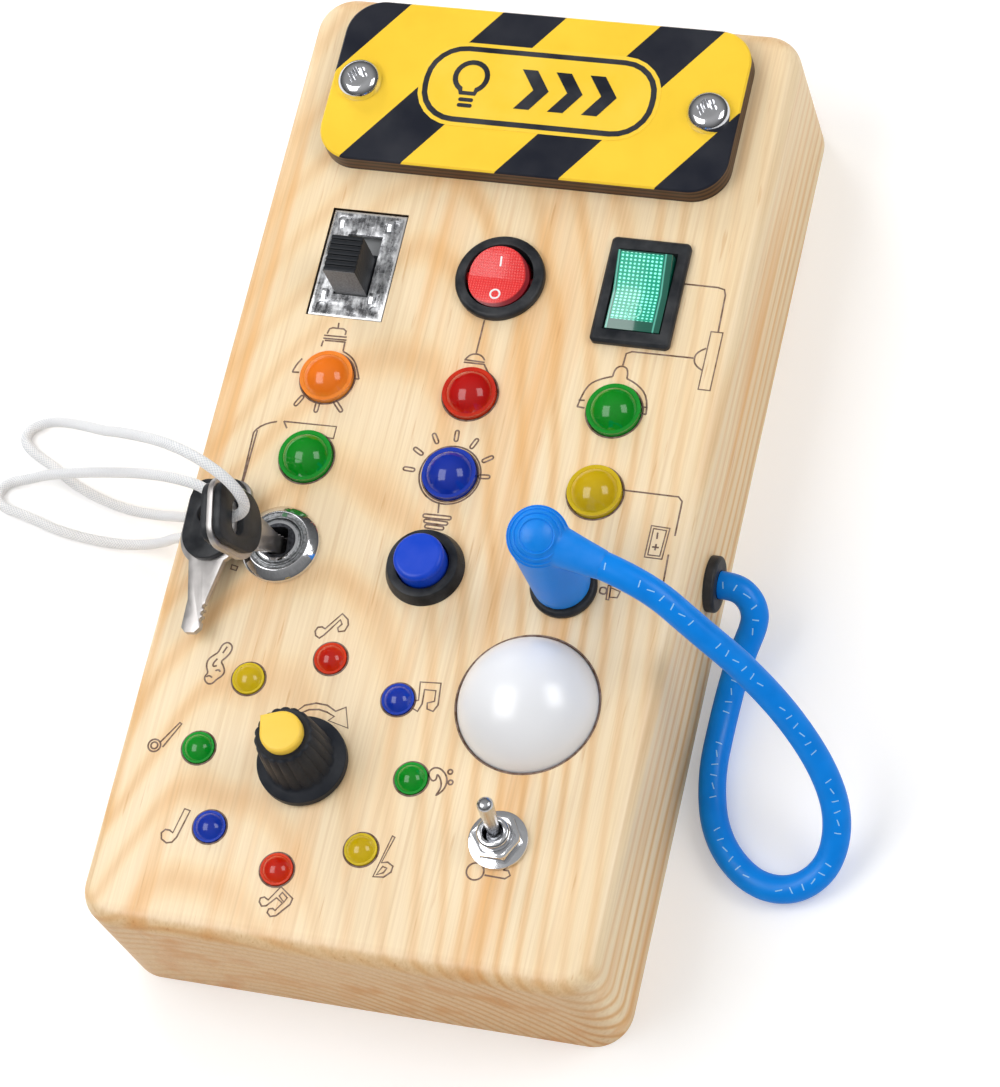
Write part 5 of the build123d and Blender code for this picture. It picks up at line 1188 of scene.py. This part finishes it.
closedLines = [
    [(42.4, 31.7), (44.6, 31.7), (44.6, 20.1), (42.4, 20.1)],
    [(39.6, -7.2), (43.0, -7.3), (42.8, -13.3), (39.6, -13.3)],
    [(40.1, -7.7), (42.5, -7.8), (42.3, -12.8), (40.1, -12.8)],
    [(34.3, -19.5), (34.8, -19.5), (35.0, -22.2), (34.5, -22.2)],
    [(34.9, -19.9), (36.7, -20.4), (36.4, -21.6), (35.0, -21.7)],
    [(-35.5, -24.9), (-34.3, -25.1), (-34.4, -25.9), (-35.5, -25.7)],
    [(-11.0, -84.8), (-10.6, -84.1), (-9.5, -84.9), (-9.9, -85.8)],
    [(-16.3, -50.7), (-15.2, -49.5), (-13.2, -48.8), (-11.1, -48.9), (-9.3, -49.8), (-7.6, -48.8),
     (-6.3, -52.6), (-10.2, -51.7), (-9.3, -50.8), (-10.8, -50.2), (-12.4, -49.9), (-14.2, -50.2), (-15.5, -51.0)],
    [(-14.3, -86.4), (-14.3, -85.7), (-13.6, -85.4), (-12.8, -85.8), (-11.1, -83.1), (-8.5, -84.9), (-8.7, -86.0),
     (-10.7, -88.4), (-11.7, -88.7), (-12.4, -88.1), (-12.3, -87.4), (-11.6, -87.2), (-11.1, -87.5),
     (-10.1, -86.0), (-11.4, -85.2), (-12.9, -86.9), (-13.7, -87.1)],
    [(4.7, -42.2), (8.5, -41.9), (8.9, -46.0), (8.3, -47.3), (7.1, -47.0), (6.9, -45.9), (8.1, -45.4),
     (7.9, -43.4), (5.8, -43.5), (6.0, -46.2), (5.5, -47.7), (4.3, -47.2), (4.2, -46.0), (5.2, -45.6)],
    [(-16.8, -35.4), (-16.5, -34.6), (-15.7, -34.4), (-15.1, -34.7), (-12.6, -31.4), (-11.3, -32.4),
     (-11.0, -33.4), (-11.4, -34.6), (-12.5, -34.9), (-12.8, -34.2), (-12.2, -33.4), (-12.7, -32.6),
     (-15.0, -35.9), (-15.7, -36.6), (-16.5, -36.2)],
    [(-35.0, -77.8), (-35.3, -76.7), (-34.7, -76.0), (-33.9, -76.0), (-33.2, -76.4), (-32.2, -71.7),
     (-31.1, -71.9), (-32.3, -77.1), (-32.9, -78.1), (-33.9, -78.4)],
    [(6.5, -71.0), (7.0, -71.2), (5.7, -76.1), (6.8, -75.8), (7.9, -76.4), (7.8, -77.5), (6.7, -78.6), (4.8, -78.8)],
    [(6.1, -76.7), (6.9, -76.9), (6.5, -77.8), (5.3, -78.4)],
]
closedCurves = [
    [(33.0, -20.6), (33.1, -20.0), (34.2, -20.0), (34.3, -21.3), (33.1, -21.2)],
    [(-32.4, -39.6), (-33.4, -40.4), (-33.6, -41.9), (-34.6, -42.7), (-35.3, -43.6), (-35.2, -44.9),
     (-34.5, -46.0), (-35.0, -46.6), (-34.9, -47.4), (-34.1, -48.1), (-33.2, -47.9), (-32.7, -47.0),
     (-31.8, -46.2), (-31.5, -45.3), (-32.1, -44.2), (-32.8, -43.5), (-31.9, -42.6), (-31.3, -41.4), (-31.3, -40.3)],
    [(10.4, -59.4), (10.2, -58.4), (10.9, -57.5), (12.1, -57.5), (13.3, -58.4), (13.9, -59.6), (13.7, -61.3),
     (12.2, -62.9), (12.9, -61.6), (13.0, -60.4), (12.5, -59.3), (11.7, -58.5), (11.9, -59.6), (11.3, -60.1)],
    ringPoints(-40.9, -60.9, 1.2), ringPoints(-40.9, -60.9, 0.65), ringPoints(22.6, -75.1, 1.6),
    ringPoints(14.0, -57.9, 0.45, 8), ringPoints(14.5, -59.8, 0.45, 8), ringPoints(0.75, -2.3, 5.75, 32),
]
bars = [
    (-27.4, 9.0, -27.4, 7.2), (-24.1, 9.3, -22.7, 7.8), (-30.7, 9.5, -31.5, 8.0), (-2.0, -10.7, 2.6, -10.6),
    (-1.6, -11.7, 2.2, -11.7), (-1.2, -12.7, 1.7, -12.7),
]
closedCurves += [capsulePoints(*bar) for bar in bars]
# rims of the holes, partly scorched and partly painted shade of the gap round each part
lampRims = [(-26.8, 13.9), (0.8, 13.9), (28.1, 13.9), (-26.8, -2.3), (0.8, -2.3), (28.1, -2.3)]
beadRims = [
    (-12.6, -40.2), (-12.6, -80.2), (1.53, -46.07), (-26.74, -74.34), (7.39, -60.21), (-32.6, -60.21),
    (1.53, -74.34), (-26.74, -46.07),
]
closedCurves += [ringPoints(x, y, 5.28, 32) for x, y in lampRims]
closedCurves += [ringPoints(x, y, 3.2, 24) for x, y in beadRims]
closedCurves.append(ringPoints(24.9, -43.6, 13.05, 48))
blueRays = [(-7.1, -2.1), (-6.2, 1.6), (-3.6, 4.5), (0.2, 5.5), (3.8, 4.4), (7.0, 1.7), (7.1, -1.8)]
closedCurves += [rayPoints(x, y, 0.75, -2.4) for x, y in blueRays]


def makeBurntLines():
    data = bpy.data.curves.new("burntLines", "CURVE")
    data.dimensions = "3D"
    data.resolution_u = 3
    data.bevel_depth = burnt["halfWidth"] * millimetre
    data.bevel_resolution = 1
    height = burnt["faceZ"] - burnt["sink"]
    for shapes, kind, isClosed in (
        (openLines, "POLY", False), (openCurves, "NURBS", False),
        (closedLines, "POLY", True), (closedCurves, "NURBS", True),
    ):
        for shape in shapes:
            addSpline(data, kind, [(x, y, height) for x, y in shape], isClosed)
    lines = linkObject("burntLines", data)
    data.use_fill_caps = True
    pick(lines)
    bpy.ops.object.convert(target="MESH")
    lines = bpy.context.object
    lines.data.materials.append(looks["burntLine"])
    smoothBelow(60)
    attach(lines, "root")


makeBurntLines()
print("burnt lines made")


# flat shapes: marks, badge and rims
def flatShape(name, outlines, low, high, material, body="root", place=(0, 0, 0), lean=(0, 0, 0)):
    data = bpy.data.curves.new(name, "CURVE")
    data.dimensions = "2D"
    data.fill_mode = "BOTH"
    data.extrude = (high - low) / 2 * millimetre
    for shape in outlines:
        addSpline(data, "POLY", [(x, y, 0) for x, y in shape], True)
    pick(linkObject(name, data))
    bpy.ops.object.convert(target="MESH")
    flat = bpy.context.object
    startEdit()
    bpy.ops.mesh.remove_doubles(threshold=0.000002)
    bpy.ops.mesh.normals_make_consistent(inside=False)
    endEdit()
    flat.rotation_euler = [math.radians(angle) for angle in lean]
    flat.location = inMetres(place[0], place[1], place[2] + (high + low) / 2)
    applyPlace(flat)
    smoothBelow(30)
    flat.data.materials.append(material)
    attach(flat, body)
    return flat


def roundedBox(width, height, corner, x=0.0, y=0.0, steps=7):
    points = []
    for sideX, sideY, start in ((1, -1, -90), (1, 1, 0), (-1, 1, 90), (-1, -1, 180)):
        centreX = x + sideX * (width / 2 - corner)
        centreY = y + sideY * (height / 2 - corner)
        points += ringPoints(centreX, centreY, corner, steps, start, 90)
    return points


badge = {
    "place": (0.8, 75.0, 36.2),
    "width": 43.0,
    "height": 14.0,
    "corner": 6.2,
    "border": 1.1,
    "rim": 0.8,
    "yellow": dict(color=(255, 211, 58), rough=0.4, mottle=0.05, scale=160, grain=1800, depth=0.04, specular=0.2),
    "ink": dict(color=(28, 31, 42), rough=0.4, mottle=0.1, scale=160, grain=1800, depth=0.04, specular=0.2),
}
looks["badgeYellow"] = makeFinish("badgeYellow", badge["yellow"])
looks["badgeInk"] = makeFinish("badgeInk", badge["ink"])


def makeBadge():
    width, height, corner, border, rim = (badge[key] for key in ("width", "height", "corner", "border", "rim"))

    def layer(name, outlines, low, high, look):
        flatShape(name, outlines, low, high, looks[look], place=badge["place"])

    def boxOver(more):
        return [roundedBox(width + 2 * more, height + 2 * more, corner + more)]

    layer("badgeRim", boxOver(border + rim), 0, 0.06, "badgeYellow")
    layer("badgeBorder", boxOver(border), 0.02, 0.10, "badgeInk")
    layer("badgeField", boxOver(0), 0.04, 0.14, "badgeYellow")
    # a light bulb with its screw cap, and three arrowheads
    bulb = ringPoints(-13.5, 1.6, 3.6, 22, -58, 296)
    bulb += [(-15.1, -2.3), (-11.9, -2.3)]
    inner = ringPoints(-13.5, 1.6, 2.6, 22, -62, 304) + [(-14.6, -1.5), (-12.4, -1.5)]
    marks = [bulb, inner]
    marks += [roundedBox(2.9, 0.8, 0.35, -13.5, y, 4) for y in (-3.3, -4.5)]
    for step in range(3):
        x = -4.0 + step * 6.6
        marks.append([(x, 4.2), (x + 3.0, 4.2), (x + 6.0, 0), (x + 3.0, -4.2), (x, -4.2), (x + 3.0, 0)])
    layer("badgeMarks", marks, 0.06, 0.19, "badgeInk")


makeBadge()

# marks of the switches
looks["markWhite"] = makeFinish(
    "markWhite", dict(color=(248, 244, 244), rough=0.4, mottle=0.04, scale=300, grain=2600, depth=0.04)
)
looks["litMark"] = makeFinish(
    "litMark", dict(color=(150, 236, 214), rough=0.3, mottle=0.04, scale=300, grain=2600, depth=0.04)
)
rockerMarks = {"x": 1.2, "y": 37.49, "crest": (-0.33, 33.57), "slope": 20.0, "onAway": 3.1, "offAway": 3.3}


def makeRockerMarks():
    x, y = rockerMarks["x"], rockerMarks["y"]
    crestY, crestZ = rockerMarks["crest"]
    slope = math.radians(rockerMarks["slope"])
    onY = crestY + rockerMarks["onAway"] * math.cos(slope)
    onZ = crestZ + rockerMarks["onAway"] * math.sin(slope)
    flatShape(
        "onMark", [roundedBox(0.34, 1.9, 0.12, 0, 0, 3)], -0.05, 0.07, looks["markWhite"],
        body="round_rocker", place=(x, y + onY, onZ), lean=(rockerMarks["slope"], 0, 0),
    )
    flatShape(
        "offMark", [ringPoints(0, 0, 1.05, 24), ringPoints(0, 0, 0.72, 24)], -0.05, 0.07, looks["markWhite"],
        body="round_rocker", place=(x, y + crestY - rockerMarks["offAway"], crestZ),
    )


makeRockerMarks()


def makeSmallMarks():
    # the ring on the lit paddle and the dot on the lock
    crestY, crestZ = rockerMarks["crest"]
    flatShape(
        "litMark", [ringPoints(0, 0, 1.5, 28), ringPoints(0, 0, 1.32, 28)], -0.05, 0.06, looks["litMark"],
        body="lit_rocker", place=(27.7, rockerMarks["y"] + crestY - 3.6, crestZ),
    )
    flatShape(
        "lockDot", [ringPoints(0, 0, 0.5, 16)], -0.05, 0.06, looks["green_board"],
        place=(-27.3, -14.85, 34.2),
    )


makeSmallMarks()
print("badge and marks made")

# floor and light
studio = {
    "floorSize": 6.0,
    "floorColor": (0.93, 0.93, 0.93, 1),
    "floorGlow": 0.2,
    "sky": 0.53,
    "mirrored": [(0.0, 0.05), (0.45, 0.16), (1.0, 0.42)],
    "lampDistance": 0.75,
    "leftLamp": {"toward": (-0.438, -0.200, 0.878), "size": (0.40, 0.56), "watts": 2.1},
    "rightLamp": {"toward": (0.675, 0.192, 0.712), "size": (0.30, 0.40), "watts": 1.1},
    "leftGlint": {"toward": (-0.438, -0.200, 0.878), "size": (0.40, 0.56), "watts": 5.0, "glintOnly": True},
    "rightGlint": {"toward": (0.675, 0.192, 0.712), "size": (0.30, 0.40), "watts": 2.7, "glintOnly": True},
    "backLamp": {"toward": (-0.52, 0.72, 0.36), "size": (0.30, 0.30), "watts": 1.7, "unseen": True},
}


def makeFloor():
    deselectAll()
    bpy.ops.mesh.primitive_plane_add(size=studio["floorSize"], location=(0, 0, 0))
    floor = bpy.context.object
    floor.name = "studioFloor"
    material, shader = startMaterial("floorPaint", studio["floorColor"], 0.9)
    seen = addNode("LightPath").outputs["Is Camera Ray"]
    shader.inputs["Emission Color"].default_value = (1, 1, 1, 1)
    feed(shader, Emission_Strength=times(seen, studio["floorGlow"]))
    floor.data.materials.append(material)


def makeLamp(name, values):
    direction = Vector(values["toward"]).normalized()
    data = bpy.data.lights.new(name, "AREA")
    data.shape = "RECTANGLE"
    data.size, data.size_y = values["size"]
    data.energy = values["watts"]
    lamp = linkObject(name, data)
    lamp.location = direction * studio["lampDistance"]
    side = Vector(cameraView["up"]).cross(direction).normalized()
    rise = direction.cross(side).normalized()
    lamp.rotation_euler = Matrix((side, rise, direction)).transposed().to_euler()
    lamp.visible_glossy = not values.get("unseen", False)
    lamp.visible_diffuse = not values.get("glintOnly", False)


def makeSky():
    world = bpy.data.worlds.new("studioSky")
    world.use_nodes = True
    bench["tree"] = world.node_tree
    background = world.node_tree.nodes["Background"]
    background.inputs["Color"].default_value = (1, 1, 1, 1)
    path = addNode("LightPath")
    seen = calculate("MAXIMUM", path.outputs["Is Camera Ray"], path.outputs["Is Transmission Ray"])
    level = plus(times(seen, 1 - studio["sky"]), studio["sky"])
    # reflections see a darker room, darkest near the floor
    height = axes(addNode("TexCoord").outputs["Generated"])["Z"]
    room = ramp(height, [(share, (value, value, value, 1)) for share, value in studio["mirrored"]])
    isMirrored = path.outputs["Is Glossy Ray"]
    strength = addNode("Mix", n0=isMirrored, n2=level, n3=room)
    feed(background, Strength=strength.outputs[0])
    bpy.context.scene.world = world


makeFloor()
for lampName in ("leftLamp", "rightLamp", "leftGlint", "rightGlint", "backLamp"):
    makeLamp(lampName, studio[lampName])
makeSky()
bpy.context.scene.view_settings.view_transform = "Standard"
print("studio made")
